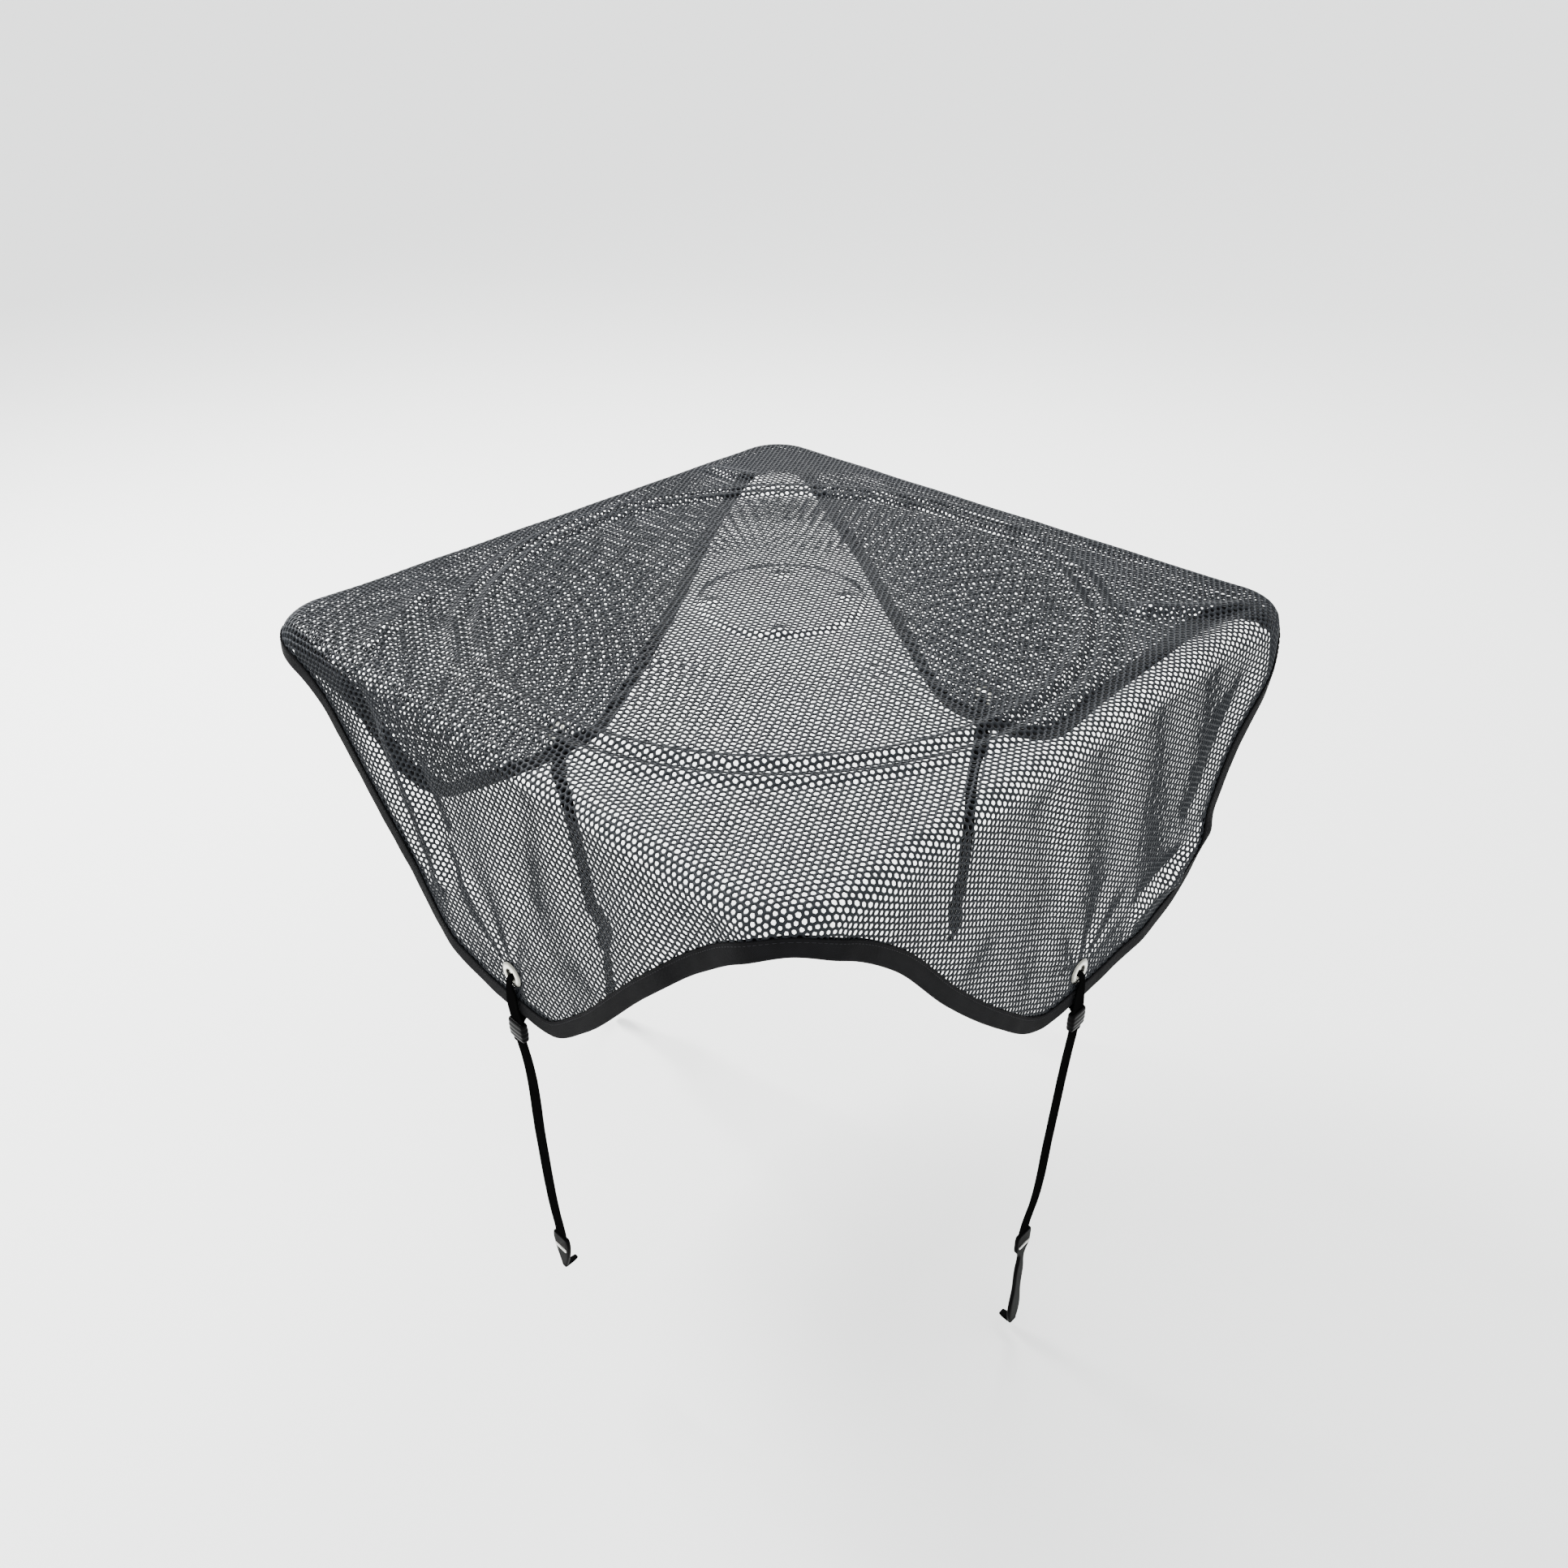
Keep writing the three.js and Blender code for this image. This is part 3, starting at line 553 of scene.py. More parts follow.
# %% Tape section and sweep
# Distance off the cloth's middle, distance up from the hem's edge, in millimetres
TAPE_SECTION = np.array([
    (2.4, 20), (2.7, 19.5), (2.75, 15), (2.8, 10), (2.75, 5.5), (2.7, 3), (2.3, 1.2), (1.3, 0.25),
    (0, 0), (-1.3, 0.25), (-2.3, 1.2), (-2.7, 3), (-2.75, 10), (-2.7, 19.5), (-2.4, 20), (-1.7, 20),
    (-1.4, 19.5), (-1.4, 10), (-1.4, 3.2), (-0.9, 1.9), (0, 1.5), (0.9, 1.9), (1.4, 3.2), (1.4, 10),
    (1.4, 19.5), (1.7, 20)]) * MM
# Off the cloth's middle, the least for an outer face; then the section's length all round
OUTER_FACES = 2 * MM
TAPE_GIRTH = 0.084
TAPE_STEPS = 960
RIPPLE = 0.16 * MM
RIPPLE_WAVES = 6
RIPPLES_ROUND = (30, 150)


def on_hem(t, up, off):
    """A place by its distance square to the hem: the step up is turned by the hem's slope at t."""
    rise = hem_slope(t)
    size = np.hypot(1, rise)
    q = cloth_length(t) - up / size
    return hanging(t + up * rise / size, np.maximum(q, 0), off)


def even_hem(count):
    """Values of t at even distances along the hem's slanting line."""
    return np.interp(np.arange(count) / count * travelled[-1], travelled, samples)


def grid_faces(rows, columns, close_rows=False, close_columns=False):
    """Four-sided faces between neighbouring rows and columns of a grid of points."""
    r, c = np.mgrid[0:rows - (not close_rows), 0:columns - (not close_columns)]
    next_r, next_c = (r + 1) % rows, (c + 1) % columns
    return np.stack([r * columns + c, next_r * columns + c, next_r * columns + next_c,
                     r * columns + next_c], -1).reshape(-1, 4)


def outwards(points, faces):
    """The faces, turned round if the volume that they enclose comes out negative."""
    a, b, c, d = (points[faces[:, n]] for n in range(4))
    volume = np.einsum("ij,ij", a, np.cross(b, c)) + np.einsum("ij,ij", a, np.cross(c, d))
    return faces if volume > 0 else faces[:, ::-1]


tape_t = even_hem(TAPE_STEPS)
travel = np.arange(TAPE_STEPS) / TAPE_STEPS * hem_length
rng = np.random.default_rng(23)
ripple_table = zip(rng.integers(*RIPPLES_ROUND, RIPPLE_WAVES), rng.uniform(0, 6, RIPPLE_WAVES))
ripple = sum(np.sin(math.tau * n * travel / hem_length + c) for n, c in ripple_table) * RIPPLE / 2
tape_off, tape_up = TAPE_SECTION.T
outer = np.sign(tape_off) * (np.abs(tape_off) > OUTER_FACES)
tape_points = on_hem(tape_t[:, None], tape_up, tape_off + ripple[:, None] * outer).reshape(-1, 3)
tape_faces = outwards(tape_points, grid_faces(TAPE_STEPS, len(TAPE_SECTION), True, True))


def sweep_uv(faces, rows, columns, length, girth):
    """UV in metres: u along the sweep, v round the section, unrolled past the closing row and column."""
    r, c = faces // columns, faces % columns
    r = np.where((r == 0) & (r.max(1, keepdims=True) == rows - 1), rows, r)
    c = np.where((c == 0) & (c.max(1, keepdims=True) == columns - 1), columns, c)
    return np.stack([r * length / rows, c * girth / columns], -1)


tape_uv = sweep_uv(tape_faces, TAPE_STEPS, len(TAPE_SECTION), hem_length, TAPE_GIRTH)
tape = piece("hem_tape", tape_points, tape_faces, uv=tape_uv)
print("tape faces:", len(tape_faces), f"along {hem_length:.2f} m of hem")

# %% [markdown]
# ## The stitches
#
# One row of stitches holds the tape, a little below its upper edge on both sides. Each stitch is a
# short bead of five-sided rings, and all are made in one array.

# %% Stitches along the tape
STITCH_PITCH = 4.2 * MM
STITCH_LENGTH = 3.0 * MM
STITCH_UP = 16.8 * MM
STITCH_OFF = 2.82 * MM
STITCH_SIDES = 5
# Place along the stitch as a share of its length, radius in millimetres
STITCH_RINGS = np.array([(-0.5, 0.08), (-0.3, 0.3), (0.3, 0.3), (0.5, 0.08)])


def stitches(off):
    """Beads along the hem: rings about a line on the tape, at a constant distance up from the edge."""
    start = even_hem(int(hem_length / STITCH_PITCH))[:, None, None]
    angle = np.arange(STITCH_SIDES) / STITCH_SIDES * math.tau
    along, radius = STITCH_RINGS[:, :1] * STITCH_LENGTH, STITCH_RINGS[:, 1:] * MM
    up = STITCH_UP + radius * np.cos(angle)
    out = off + np.sign(off) * radius * np.sin(angle)
    return on_hem(start + along * hem_cosine(start), up, out).reshape(len(start), -1, 3)


ring_faces = grid_faces(len(STITCH_RINGS), STITCH_SIDES, close_columns=True)
last = (len(STITCH_RINGS) - 1) * STITCH_SIDES
end_faces = np.array([(0, 1, 2, 3), (0, 3, 4, 4), (last + 3, last + 2, last + 1, last),
                      (last + 4, last + 4, last + 3, last)])
bead_faces = np.concatenate([ring_faces, end_faces])
runs = [stitches(STITCH_OFF), stitches(-STITCH_OFF)]
seam_faces = []
for number, run in enumerate(runs):
    start = (number * len(run) + np.arange(len(run))) * run.shape[1]
    seam_faces.append(outwards(run[0], bead_faces) + start[:, None, None])
seam_points = np.concatenate(runs).reshape(-1, 3)
seam = piece("hem_stitches", seam_points, np.concatenate(seam_faces).reshape(-1, 4))
print("stitches:", sum(len(run) for run in runs))

# %% [markdown]
# ## Straps, hooks and bars from one kind of band
#
# A strap is a flat band carried along a path, and so is a hook: its plate runs down and its lip turns
# in at the foot. One function makes them all. The path is a smooth curve through a few rows, each with
# a width and a thickness, and the section is a flat shape with round edges that can sink along its
# middle into a valley.


# %% Bands
def on_side(side, along, out, z):
    """A place by its distance along a side, its distance out from the flap's middle and its height."""
    out, along, z = np.broadcast_arrays(MIDDLE + out, along, z)
    return np.concatenate([turned(side, out, along), z[..., None]], -1)


def band_section(edge_steps=4, flat_steps=6):
    """Round a flat section: quarter turns about four hubs, and flats between; hub, then way off it."""
    rows = []
    for corner, (hx, hy) in enumerate([(1, 1), (-1, 1), (-1, -1), (1, -1)]):
        angle = (corner + np.linspace(0, 1, edge_steps)) * QUARTER
        rows.append(np.stack([hx + 0 * angle, hy + 0 * angle, np.cos(angle), np.sin(angle)], -1))
        if corner % 2 == 0:
            flat = np.linspace(hx, -hx, flat_steps)[1:-1]
            rows.append(np.stack([flat, hy + 0 * flat, 0 * flat, hy + 0 * flat], -1))
    return np.concatenate(rows)


SECTION = band_section()


def band(name, side, rows, step, edge=0.5, taper=0.3):
    """Rows of along, out, z, width, thickness and valley, joined by a smooth curve, with closed ends.

    As shares of the thickness, edge is the section's edge radius and taper what the ends lose."""
    ends = np.linalg.norm(np.diff(rows[:, :3], axis=0), axis=1)
    knots = np.concatenate([[0], np.cumsum(ends)])
    count = int(knots[-1] / step)
    way = np.linspace(0, knots[-1], count)
    slopes = np.gradient(rows, knots, axis=0)
    spine = np.stack([through(way, knots, rows[:, n], slopes[:, n]) for n in range(rows.shape[1])], -1)
    width, thick, valley = (np.maximum(spine[:, n], 0) for n in (3, 4, 5))
    centre = on_side(side, spine[:, 0], spine[:, 1], spine[:, 2])
    tangent = one_long(np.gradient(centre, axis=0))
    across = np.append(turned(side, 0, 1), 0)
    across = one_long(across - tangent * (tangent @ across)[:, None])
    face = np.cross(across, tangent)
    r = (edge * thick)[:, None]
    x = SECTION[:, 0] * (width[:, None] / 2 - r) + SECTION[:, 2] * r
    n = SECTION[:, 1] * (thick[:, None] / 2 - r) + SECTION[:, 3] * r
    n = n - valley[:, None] * (1 - (2 * x / width[:, None]) ** 2)
    lost = np.zeros((count, 1))
    lost[[0, -1]] = taper
    x, n = x * (1 - lost * (thick / width)[:, None]), n * (1 - lost)
    skin = centre[:, None] + across[:, None] * x[..., None] + face[:, None] * n[..., None]
    points = np.concatenate([skin.reshape(-1, 3), skin[[0, -1]].mean(1)])
    body = grid_faces(count, len(SECTION), close_columns=True)
    ring = np.arange(len(SECTION))
    following, base = np.roll(ring, -1), (count - 1) * len(SECTION)
    first, final = 0 * ring + len(points) - 2, 0 * ring + len(points) - 1
    start = np.stack([following, ring, first, first], -1)
    finish = np.stack([base + ring, base + following, final, final], -1)
    faces = np.concatenate([body, start, finish])
    length = float(np.linalg.norm(np.diff(centre, axis=0), axis=1).sum())
    girth = float(2 * (width.max() + thick.max()))
    uv = sweep_uv(body, count, len(SECTION), length, girth)
    uv = np.concatenate([uv, np.zeros((2 * len(SECTION), 4, 2))])
    outer = outwards(points, faces)
    uv = uv if outer is faces else uv[:, ::-1]
    return piece(name, points, outer, uv=uv, sharp=50), length


print("points round a band:", len(SECTION))

# %% [markdown]
# ## The straps
#
# Each strap is one piece of webbing. Its tail starts in the keeper, runs up outside the flap, is
# gathered through the eyelet, comes down inside and back under the hem, and goes through the keeper
# again to the hook. Where it is gathered its middle sinks, which gives the two legs that show below an
# eyelet.

# %% Places of the fittings, in millimetres, and the webbing
KEEPER = {"below_hem": 11, "height": 24, "aside": 2, "out": 4, "width": 26, "depth": 10}
# Half the distance between the two layers, and the webbing's width and thickness
LAYER = 0.95
WEB = (20, 1.6)
# Radius of the loop in the eyelet, its drop below the eyelet's middle, and its width, thickness, valley
LOOP = 5.5
BEND_BELOW = 8
LOOP_STEPS = 7
GATHERED = (9, 2.2, 0.3)
STRAP_STEP = 2.0 * MM
# Distance along and height at rows between the keeper and the hook, then at the hook's top
FRONT_WAY = [(8, -388), (11, -508), (17, -625)]
SIDE_WAY = [(33, -425), (19, -544), (7, -640)]
WAYS = (FRONT_WAY, SIDE_WAY) * 2
HOOK_PLACES = ((22, -664), (-8, -686)) * 2


def fittings(side):
    """Eyelet's along and height, keeper's along, top and bottom, hem's height, in millimetres."""
    along, z = EYELETS[side] / MM
    hem = -float(hem_drop(np.array((2 * side + 1) * REACH + along * MM))) / MM
    top = hem - KEEPER["below_hem"]
    return along, z, along + KEEPER["aside"], top, top - KEEPER["height"], hem


def strap_rows(side):
    """The strap's way, row by row: along, out, height, width, thickness, valley."""
    along, z, keeper, top, bottom, hem = fittings(side)
    bend = z - BEND_BELOW
    front, rear = KEEPER["out"] + LAYER, KEEPER["out"] - LAYER
    turn = np.linspace(0, math.pi, LOOP_STEPS)
    loop = [(along, LOOP * math.cos(a), bend + LOOP * math.sin(a), *GATHERED) for a in turn]
    outside = [(keeper, front, bottom - 8, *WEB, 0), (keeper, front, bottom + 6, *WEB, 0),
               (keeper, front, top + 2, *WEB, 0.2), (along, LOOP, hem + 6, 19, 1.6, 0.9),
               (along, LOOP, bend - 13, 15, 1.7, 2.0)]
    inside = [(along, -LOOP, bend - 13, 15, 1.7, 1.6), (along, -LOOP, hem + 3, *WEB, 0.5),
              (keeper, -4, hem - 2.5, *WEB, 0), (keeper, -1, hem - 5, *WEB, 0),
              (keeper, 1.8, hem - 7.5, *WEB, 0), (keeper, rear, top + 2, *WEB, 0),
              (keeper, rear, bottom - 2, *WEB, 0)]
    rows = outside + loop + inside + [(place, rear, height, *WEB, 0) for place, height in WAYS[side]]
    place, height = HOOK_PLACES[side]
    rows += [(place, rear, height + 4, *WEB, 0), (place, rear, height - 12, *WEB, 0)]
    return np.array(rows) * MM


straps, strap_lengths = [], []
for side, name in enumerate(NAMES):
    strap, length = band(f"strap_{name}_web", side, strap_rows(side), STRAP_STEP)
    straps.append(strap)
    strap_lengths.append(length)
    print(strap.name, f"{length:.3f} m long")

# %% [markdown]
# ## The hooks and their bars
#
# A hook is a moulded plate that narrows to its foot, where a lip turns in. The short ones are
# shield-shaped and the long ones have a neck and a tail. A thin metal bar lies across each plate.

# %% Hooks
# Distance below the top, half width, in millimetres
SHORT_HOOK = [(0, 12.5), (5, 13.6), (10, 14), (20, 12.9), (30, 11), (42, 7.6), (50, 5), (54, 3.6)]
LONG_HOOK = [
    (0, 12.5), (4, 13.6), (8, 14), (16, 13.8), (26, 13), (34, 8), (40, 5.4), (50, 5.2), (64, 7),
    (100, 7), (165, 7), (169, 5.5)]
HOOK_ROWS = (SHORT_HOOK, LONG_HOOK) * 2
HOOK_LENGTHS = (56, 171) * 2
HOOK_THICK = 5
LIP_REACH = 14
LIP_THICK = 4
# The bar's place below the hook's top, its length and thickness, how far it stands out, and its rows
BAR_BELOW = 20
BAR = (20, 2)
BAR_PROUD = 0.5
BAR_UP = (-1.5, -0.7, 0.7, 1.5)


def hook_rows(side):
    """The plate down to its foot, then a tight bend inwards and the lip, row by row as for a strap."""
    place, height = HOOK_PLACES[side]
    out = KEEPER["out"] - LAYER
    rows = [(place, out, height - below, 2 * half, HOOK_THICK, 0) for below, half in HOOK_ROWS[side]]
    foot = height - HOOK_LENGTHS[side] + LIP_THICK / 2
    tip = 2 * HOOK_ROWS[side][-1][1]
    rows += [(place, out - 0.6, foot + 0.4, tip, HOOK_THICK, 0),
             (place, out - 2.4, foot, tip, LIP_THICK, 0), (place, out - 8, foot, tip, LIP_THICK, 0),
             (place, out - HOOK_THICK / 2 - LIP_REACH, foot, tip * 0.8, LIP_THICK * 0.8, 0)]
    return np.array(rows) * MM


def bar_rows(side):
    """A short upright band as wide as the bar is long, standing on the hook's face."""
    place, height = HOOK_PLACES[side]
    out = KEEPER["out"] - LAYER + HOOK_THICK / 2 + BAR_PROUD
    return np.array([(place, out, height - BAR_BELOW + up, *BAR, 0) for up in BAR_UP]) * MM


hooks, bars = [], []
for side, name in enumerate(NAMES):
    hooks.append(band(f"hook_{name}_plate", side, hook_rows(side), 0.9 * MM, edge=0.32, taper=0.35)[0])
    bars.append(band(f"hook_{name}_bar", side, bar_rows(side), 0.3 * MM, edge=0.4, taper=0.4)[0])
    print(hooks[-1].name, "and", bars[-1].name)

# %% [markdown]
# ## The eyelets and keepers
#
# An eyelet is a pressed ring with a rolled crown on each face and a barrel between, turned about its
# middle. A keeper is a short ribbed sleeve: its profile runs up the outside over its ribs and down the
# inside, and every point of it follows a rectangle with round corners.

# %% Eyelets
# Radius, distance off the cloth's middle, in millimetres
EYELET_PROFILE = [
    (7.5, 0), (7.45, 1.4), (7.7, 2.4), (8.3, 3), (9.2, 3.2), (10.4, 3.15), (11.8, 2.85), (13.2, 2.3),
    (14.4, 1.75), (14.9, 1.5), (15, 1.35), (14.9, 1.25), (12, 1.22), (9.1, 1.22), (8.9, 1), (8.9, 0)]
EYELET_STEPS = 72


def eyelet(name, side):
    """The profile and its mirror image, turned about the way out of the flap; v runs hole to edge."""
    half = np.array(EYELET_PROFILE)
    back = (half * [1, -1])[1:-1][::-1]
    ring = np.concatenate([half, back]) * MM
    angle = np.arange(EYELET_STEPS)[:, None] / EYELET_STEPS * math.tau
    along = EYELETS[side, 0] + ring[:, 0] * np.cos(angle)
    z = EYELETS[side, 1] + ring[:, 0] * np.sin(angle)
    points = on_side(side, along, ring[:, 1], z).reshape(-1, 3)
    faces = outwards(points, grid_faces(EYELET_STEPS, len(ring), True, True))
    uv = sweep_uv(faces, EYELET_STEPS, len(ring), 1.0, 1.0)
    uv[..., 1] = ((ring[:, 0] - ring[:, 0].min()) / np.ptp(ring[:, 0]))[faces % len(ring)]
    return piece(name, points, faces, uv=uv, sharp=60, uv_name="crown")


eyelets = [eyelet(f"eyelet_{name}_ring", side) for side, name in enumerate(NAMES)]
print("eyelets:", len(eyelets))

# %% [markdown]
# A real keeper is moulded round a slot that takes both layers of the webbing. Its ribs are for the
# fingers that slide it, and they catch the light in thin lines.

# %% Keepers
KEEPER_RIBS = 4
KEEPER_CORNER = 4.0
KEEPER_SLOT = 4.1
KEEPER_STEPS = 48
KEEPER_ROWS = 40
SLOT_ROWS = 12
LEAST_CORNER = 0.5
# Share of the height that is rounded at each end, how deep, and how deep the ribs and the waist are
END_SHARE = 0.08
END_DEPTH = 0.9
RIB_DEPTH = 0.35
WAIST_DEPTH = 0.7
# Above 1, makes the stretches between the corners straight
SQUARENESS = 2.2


def keeper(name, side):
    """Rounded rectangles stacked up the outside, ribbed and barrelled, then down the slot inside."""
    _, _, place, top, bottom, _ = fittings(side)
    up = np.linspace(0, 1, KEEPER_ROWS)
    rounded = np.clip(np.minimum(up, 1 - up) / END_SHARE, 0, 1)
    outside = END_DEPTH * (1 - np.sqrt(1 - (1 - rounded) ** 2)) + WAIST_DEPTH * (2 * up - 1) ** 2
    outside += RIB_DEPTH * (1 - np.abs(np.sin(KEEPER_RIBS * math.pi * up)))
    height = np.concatenate([up, np.linspace(1, 0, SLOT_ROWS)])[:, None] * (top - bottom) + bottom
    wall = np.full(SLOT_ROWS, (KEEPER["depth"] - KEEPER_SLOT) / 2)
    inset = np.concatenate([outside, wall])[:, None]
    angle = np.arange(KEEPER_STEPS) / KEEPER_STEPS * math.tau
    corner = np.maximum(KEEPER_CORNER - inset, LEAST_CORNER)
    half_x = KEEPER["width"] / 2 - inset - corner
    half_y = KEEPER["depth"] / 2 - inset - corner
    x = half_x * np.clip(SQUARENESS * np.cos(angle), -1, 1) + corner * np.cos(angle)
    y = half_y * np.clip(SQUARENESS * np.sin(angle), -1, 1) + corner * np.sin(angle)
    points = on_side(side, (place + x) * MM, (KEEPER["out"] + y) * MM, height * MM).reshape(-1, 3)
    faces = outwards(points, grid_faces(len(height), KEEPER_STEPS, True, True))
    return piece(name, points, faces, sharp=50)


keepers = [keeper(f"keeper_{name}_sleeve", side) for side, name in enumerate(NAMES)]
print("keepers:", len(keepers))

# %% [markdown]
# ## Writing shader maths as Python
#
# A wrapped socket lets a finish be written as a formula: adding or multiplying two of them makes a Math
# node. Every other node comes from one method, which sets its options before its values.


# %% Helpers for finishes
class Amount:
    """One number that varies over a surface. Arithmetic on it adds Math nodes."""

    def __init__(self, finish, socket):
        self.finish, self.socket = finish, socket

    def maths(self, operation, first, second):
        """One Math node that does the operation on the two."""
        return self.finish.node("Math", {"operation": operation}, {0: first, 1: second})

    # Each sign also has its reflected form, for a plain number on the left
    def __add__(self, other):
        return self.maths("ADD", self, other)

    def __mul__(self, other):
        return self.maths("MULTIPLY", self, other)

    def __sub__(self, other):
        return self.maths("SUBTRACT", self, other)

    def __rsub__(self, other):
        return self.maths("SUBTRACT", other, self)

    __radd__, __rmul__ = __add__, __mul__


class Finish:
    """A material under way, with the nodes of its pattern in front of its shader."""

    def __init__(self, name):
        self.material = bpy.data.materials.new(name)
        self.material.use_nodes = True
        self.tree = self.material.node_tree
        self.shader = self.tree.nodes["Principled BSDF"]

    def connect(self, socket, value):
        """A link if the value varies, and otherwise the socket's own value."""
        if isinstance(value, Amount):
            self.tree.links.new(value.socket, socket)
        else:
            socket.default_value = value

    def node(self, kind, settings=None, inputs=None, output=0):
        """A node of this kind: settings first, then inputs by name or number; its output is wrapped."""
        made = self.tree.nodes.new("ShaderNode" + kind)
        for key, value in (settings or {}).items():
            setattr(made, key, value)
        for key, value in (inputs or {}).items():
            self.connect(made.inputs[key], value)
        return Amount(self, made.outputs[output])

    def place(self, uv=None):
        """Object coordinates, or the piece's own UV map where one is named."""
        if uv:
            return self.node("UVMap", {"uv_map": uv})
        return self.node("TexCoord", output="Object")

    def noise(self, place, scale, detail=3.0):
        """Soft noise from 0 to 1 at so many patches a metre."""
        return self.node("TexNoise", {}, {"Vector": place, "Scale": scale, "Detail": detail})

    def between(self, share, low, high):
        """A number from low to high as share goes from 0 to 1."""
        return low + share * (high - low)

    def blend(self, share, first, second):
        """A colour that goes from first to second as share goes from 0 to 1."""
        ends = {0: share, 6: (*first, 1), 7: (*second, 1)}
        return self.node("Mix", {"data_type": "RGBA"}, ends, output=2)

    def ribs(self, place, axis, pitch):
        """Sine ribs from -1 to 1 along one axis of the coordinates, one every pitch metres."""
        part = self.node("SeparateXYZ", {}, {0: place}, output=axis)
        return self.node("Math", {"operation": "SINE"}, {0: part * (math.tau / pitch)})

    def dress(self, colour, roughness, height=None, depth=0.0, **constants):
        """Joins the pattern to the shader; height feeds Bump, depth metres deep; constants go last."""
        self.connect(self.shader.inputs["Base Color"], colour)
        self.connect(self.shader.inputs["Roughness"], roughness)
        if height is not None:
            bump = self.node("Bump", {}, {"Height": height, "Distance": depth})
            self.connect(self.shader.inputs["Normal"], bump)
        for key, value in constants.items():
            self.shader.inputs[key.replace("_", " ")].default_value = value
        return self.material


print("helpers ready")

# %% [markdown]
# ## Finishes of the cloth
#
# The net is a dark grey yarn that a little dust has made lighter in places. Tape and webbing are woven,
# so their ribs run along and across their own UV maps, and the webbing is the blackest of the three.


# %% Net, tape, thread and webbing
def net_finish():
    """Dark yarn: two sizes of soft noise lighten it and change its gloss a little."""
    finish = Finish("black_net")
    place = finish.place()
    dust = finish.noise(place, 7.0)
    yarn = finish.noise(place, 420.0, detail=2.0)
    share = dust * 0.6 + yarn * 0.4
    colour = finish.blend(share, (0.004, 0.005, 0.006), (0.018, 0.020, 0.024))
    roughness = finish.between(yarn, 0.38, 0.55)
    return finish.dress(colour, roughness, yarn, 0.0003, Specular_IOR_Level=0.08)


def woven_finish(name, low, high, rib, weft, roughness, gloss):
    """Ribs one way and finer ones the other, their product making the weave, over a slow noise."""
    finish = Finish(name)
    place = finish.place("weave")
    weave = finish.ribs(place, 0, rib) * finish.ribs(place, 1, weft)
    cloudy = finish.noise(place, 60.0)
    share = weave * 0.15 + cloudy * 0.8
    colour = finish.blend(share, low, high)
    rough = finish.between(cloudy, roughness - 0.06, roughness + 0.06)
    return finish.dress(colour, rough, weave, 0.00012, Specular_IOR_Level=gloss)


def grained_finish(name, scale, low, high, rough, depth, **constants):
    """One noise, at so many patches a metre along x, y and z, drives colour, gloss and bump."""
    finish = Finish(name)
    squeezed = finish.node("Mapping", {}, {"Vector": finish.place(), "Scale": scale})
    grain = finish.noise(squeezed, 1.0)
    colour = finish.blend(grain, low, high)
    return finish.dress(colour, finish.between(grain, *rough), grain, depth, **constants)


black_net = net_finish()
black_tape = woven_finish("black_tape", (0.003, 0.003, 0.003), (0.008, 0.008, 0.009),
                          rib=1.6 * MM, weft=1.1 * MM, roughness=0.6, gloss=0.01)
black_thread = grained_finish("black_thread", (900, 900, 900), (0.006, 0.006, 0.007),
                              (0.018, 0.018, 0.020), (0.5, 0.65), 0.0001, Specular_IOR_Level=0.05)
black_web = woven_finish("black_webbing", (0.001, 0.001, 0.001), (0.003, 0.003, 0.003),
                         rib=2.2 * MM, weft=1.6 * MM, roughness=0.7, gloss=0.0)
print("cloth finishes:", black_net.name, black_tape.name, black_thread.name, black_web.name)

# %% [markdown]
# ## Finishes of the fittings
#
# The eyelets are pale nickel, with a painted highlight on the crown and painted shade towards the edge,
# and a little wear. The keepers and hooks are moulded black plastic, and the keepers shine the more.
# The bars are bright steel with fine lines.


# %% Nickel, plastic and steel
# Of the way from hole to edge, the length of the sine rib that paints highlight on the crown, shade at
# the edge
CROWN_PAINTED_LIGHT_RIB = 1.2


def nickel_finish():
    """Pale metal: one wide sine rib paints a highlight on its crown and shade towards its edge, and
    noise wears it.
    """
    finish = Finish("pale_nickel")
    wear = finish.noise(finish.place(), 160.0)
    # The sine rib paints a highlight on the crown and shade towards the outer edge; the noise below is
    # wear
    crown = finish.ribs(finish.place("crown"), 1, CROWN_PAINTED_LIGHT_RIB)
    share = 0.7 + crown * 0.5 - (1 - wear) * 0.4
    colour = finish.blend(share, (0.16, 0.16, 0.14), (0.72, 0.71, 0.64))
    return finish.dress(colour, finish.between(wear, 0.18, 0.34), wear, 0.0001, Metallic=1.0)


def plastic_finish(name, roughness, gloss):
    """Moulded black plastic: fine noise in its gloss and a faint orange-peel bump."""
    finish = Finish(name)
    place = finish.place()
    grain = finish.noise(place, 700.0, detail=2.0)
    handling = finish.noise(place, 60.0)
    colour = finish.blend(handling, (0.001, 0.001, 0.001), (0.002, 0.002, 0.0021))
    rough = finish.between(handling, roughness, roughness + 0.14)
    return finish.dress(colour, rough, grain, 0.00008, Specular_IOR_Level=gloss)


nickel = nickel_finish()
sleeve_plastic = plastic_finish("keeper_plastic", roughness=0.12, gloss=0.02)
hook_plastic = plastic_finish("hook_plastic", roughness=0.26, gloss=0.006)
# Noise squeezed along Z makes fine lines along the bar
steel = grained_finish("bright_steel", (200, 200, 3000), (0.42, 0.42, 0.39), (0.62, 0.62, 0.59),
                       (0.25, 0.45), 0.00005, Metallic=0.85)
print("fitting finishes:", nickel.name, sleeve_plastic.name, hook_plastic.name, steel.name)

# %% [markdown]
# ## Dressing the model
#
# Every piece gets its finish. It rides on the cover's one body, and the solid that it stands for
# is hidden.


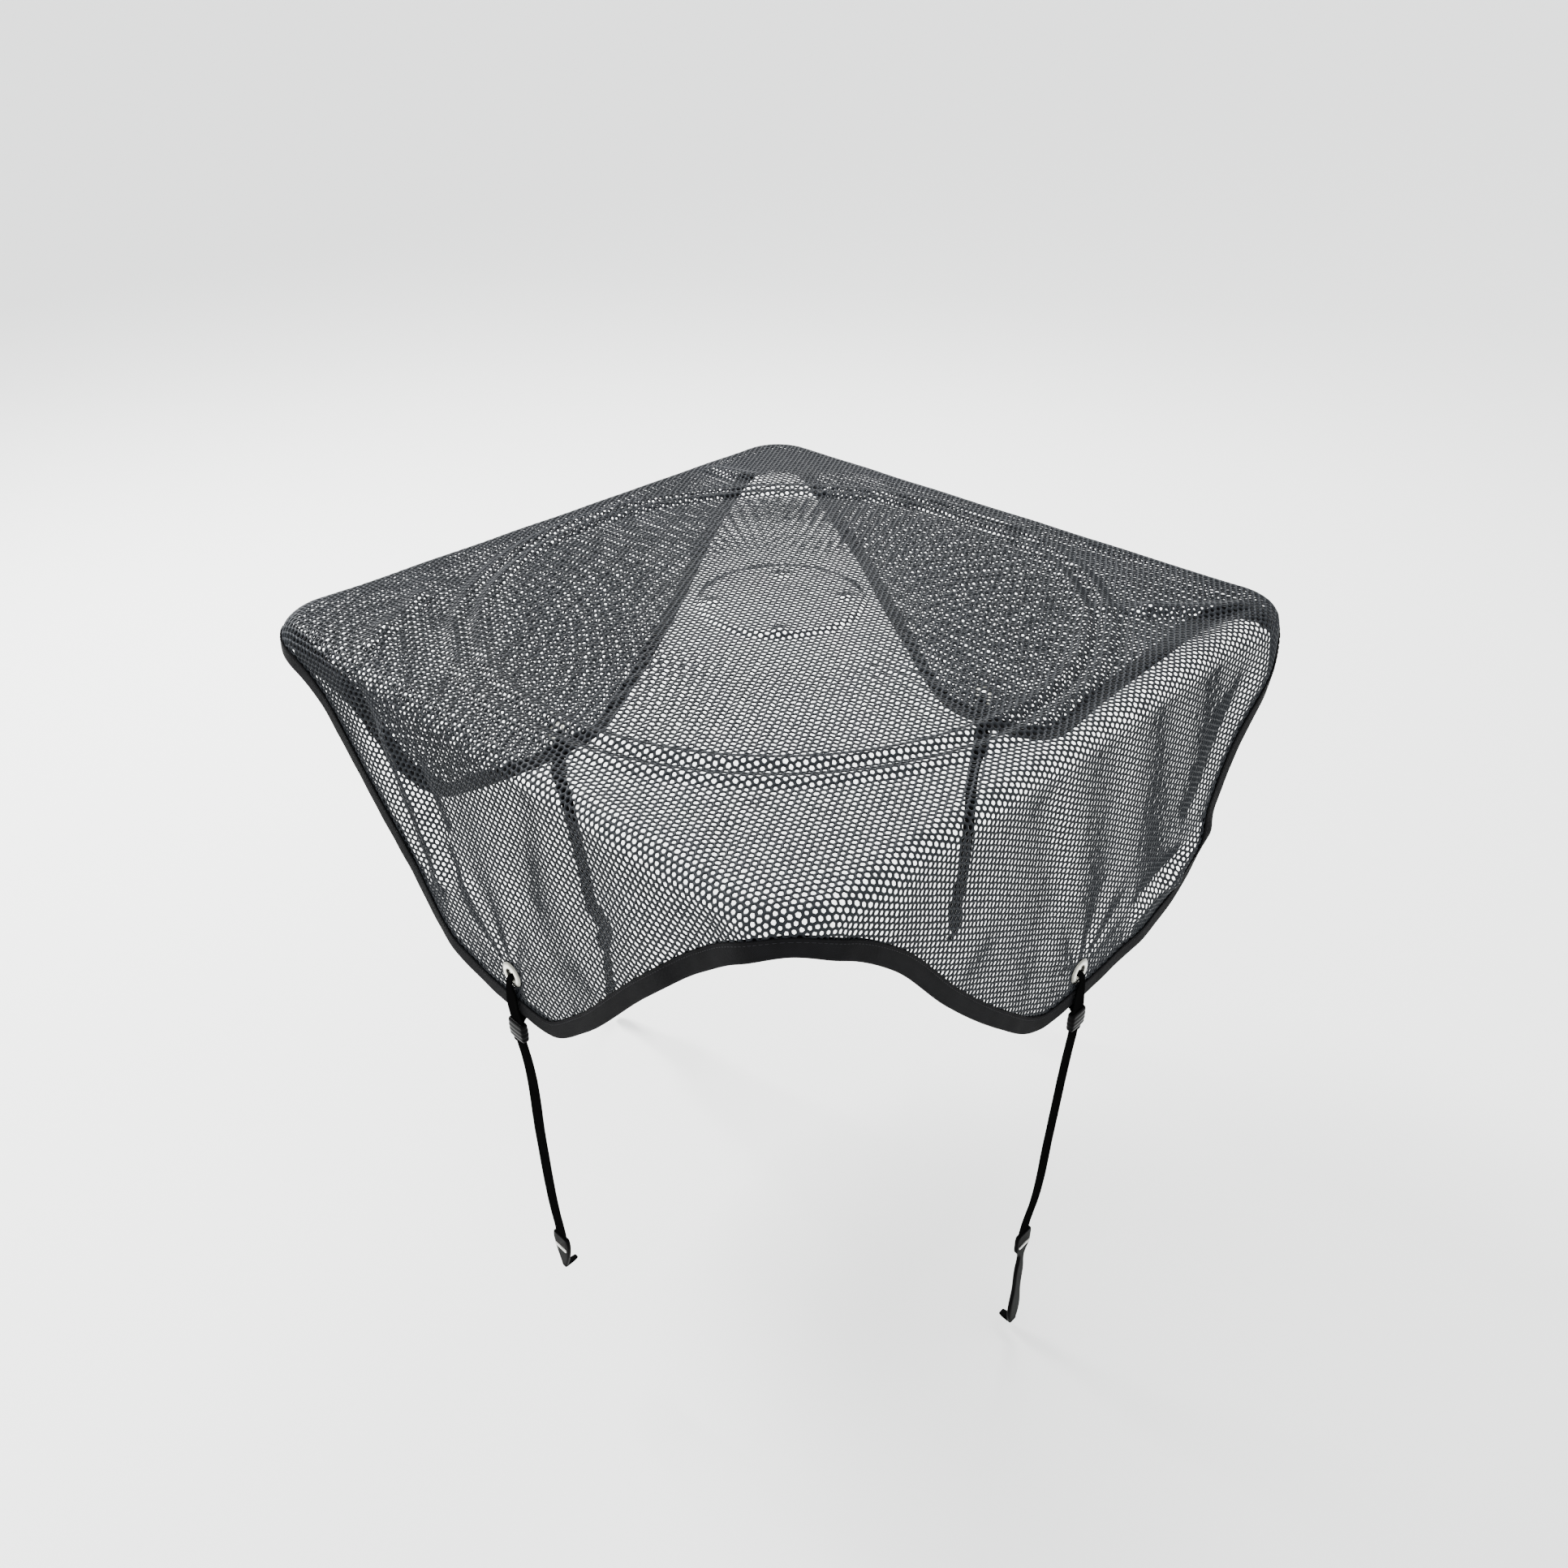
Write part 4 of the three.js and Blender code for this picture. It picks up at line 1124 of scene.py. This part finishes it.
# %% Give every piece its finish and its body, and hide its solid
def settle(made, material, slot, *nodes):
    """Puts the material on, hangs the piece on its body and hides the solids that it stands for; slot is
    not used.
    """
    made.data.materials.append(material)
    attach(made, "root")
    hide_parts(*nodes)


for net in net_pieces:
    settle(net, black_net, "net", "net_cover")
settle(tape, black_tape, "binding_tape", "hem_binding")
settle(seam, black_thread, "binding_tape", "hem_binding")
for side, name in enumerate(NAMES):
    settle(straps[side], black_web, "webbing", f"strap_{name}")
    settle(eyelets[side], nickel, "eyelet_metal", f"eyelet_{name}")
    settle(keepers[side], sleeve_plastic, "black_plastic", f"keeper_{name}")
    settle(hooks[side], hook_plastic, "black_plastic", f"hook_{name}")
    settle(bars[side], steel, "bar_steel", f"hook_bar_{name}")
print("pieces dressed:", len(net_pieces) + 2 + 5 * len(NAMES))

# %% [markdown]
# ## Counting the cloth
#
# The net's area, worked out with its pieces, is the number of its openings times the area of one, as its
# cut is no rectangle. Here the cloth pieces are only counted.

print("sheets:", len(net_pieces) + 1 + len(straps))

# %% [markdown]
# ## Studio, light and camera
#
# A pale floor lies below the hooks in a bright, even room, and the main lamp stands to the left, so
# that its shadow falls to the right. The camera stands where the photograph was taken.

# %% Floor
FLOOR_Z = -0.872
FLOOR_HALF = 80.0
ROOM_LIGHT = 2.6
corners = ((-1, -1), (1, -1), (1, 1), (-1, 1))
floor_points = [(x * FLOOR_HALF, y * FLOOR_HALF, FLOOR_Z) for x, y in corners]
floor = piece("studio_floor", floor_points, np.array([[0, 1, 2, 3]]))
paper = Finish("studio_paper")
floor.data.materials.append(paper.dress((0.86, 0.865, 0.85, 1), 0.85))

world = bpy.data.worlds.new("studio")
bpy.context.scene.world = world
world.use_nodes = True
background = world.node_tree.nodes["Background"]
background.inputs["Color"].default_value = (0.98, 0.99, 1.0, 1)
background.inputs["Strength"].default_value = ROOM_LIGHT
print("floor at", FLOOR_Z)

# %% [markdown]
# One lamp gives the highlights and the shadow, and a weaker one behind keeps the far flaps apart from
# the floor.


# %% Lights
LIGHT_TARGET = Vector((0, 0, -0.3))


def soft_light(name, place, size, power):
    """A square area light, turned so that its -Z runs from its place to the target."""
    data = bpy.data.lights.new(name, "AREA")
    data.size, data.energy = size, power
    lamp = new_object(name, data)
    lamp.location = place
    lamp.rotation_euler = (LIGHT_TARGET - Vector(place)).to_track_quat("-Z", "Y").to_euler()
    return lamp


lamps = [soft_light("key_light", (-3.0, -0.4, 2.4), size=1.0, power=420),
         soft_light("back_light", (-1.6, 2.6, 2.0), size=1.6, power=120)]
print("lights:", [lamp.name for lamp in lamps])

# %% [markdown]
# The camera's place is given in sides of the cover, as it was found, so it keeps the same view at
# another size.

# %% Camera
CAMERA_PLACE = Vector((1.1578, -1.1777, 0.7954)) * SIDE
# Yaw, pitch and roll in degrees
CAMERA_TURNS = (44.48, 33.32, -0.567)
SENSOR = 36
FOCAL_PIXELS = 1642
FRAME_PIXELS = 1932

yaw, pitch, roll = (math.radians(v) for v in CAMERA_TURNS)
turn = Matrix.Rotation(yaw, 4, "Z") @ Matrix.Rotation(QUARTER - pitch, 4, "X")
camera_data = bpy.data.cameras.new("camera")
camera_data.lens, camera_data.sensor_width = SENSOR * FOCAL_PIXELS / FRAME_PIXELS, SENSOR
camera = new_object("camera", camera_data)
camera.matrix_world = Matrix.Translation(CAMERA_PLACE) @ turn @ Matrix.Rotation(roll, 4, "Z")
bpy.context.scene.camera = camera
print("camera at", [round(v, 3) for v in CAMERA_PLACE])
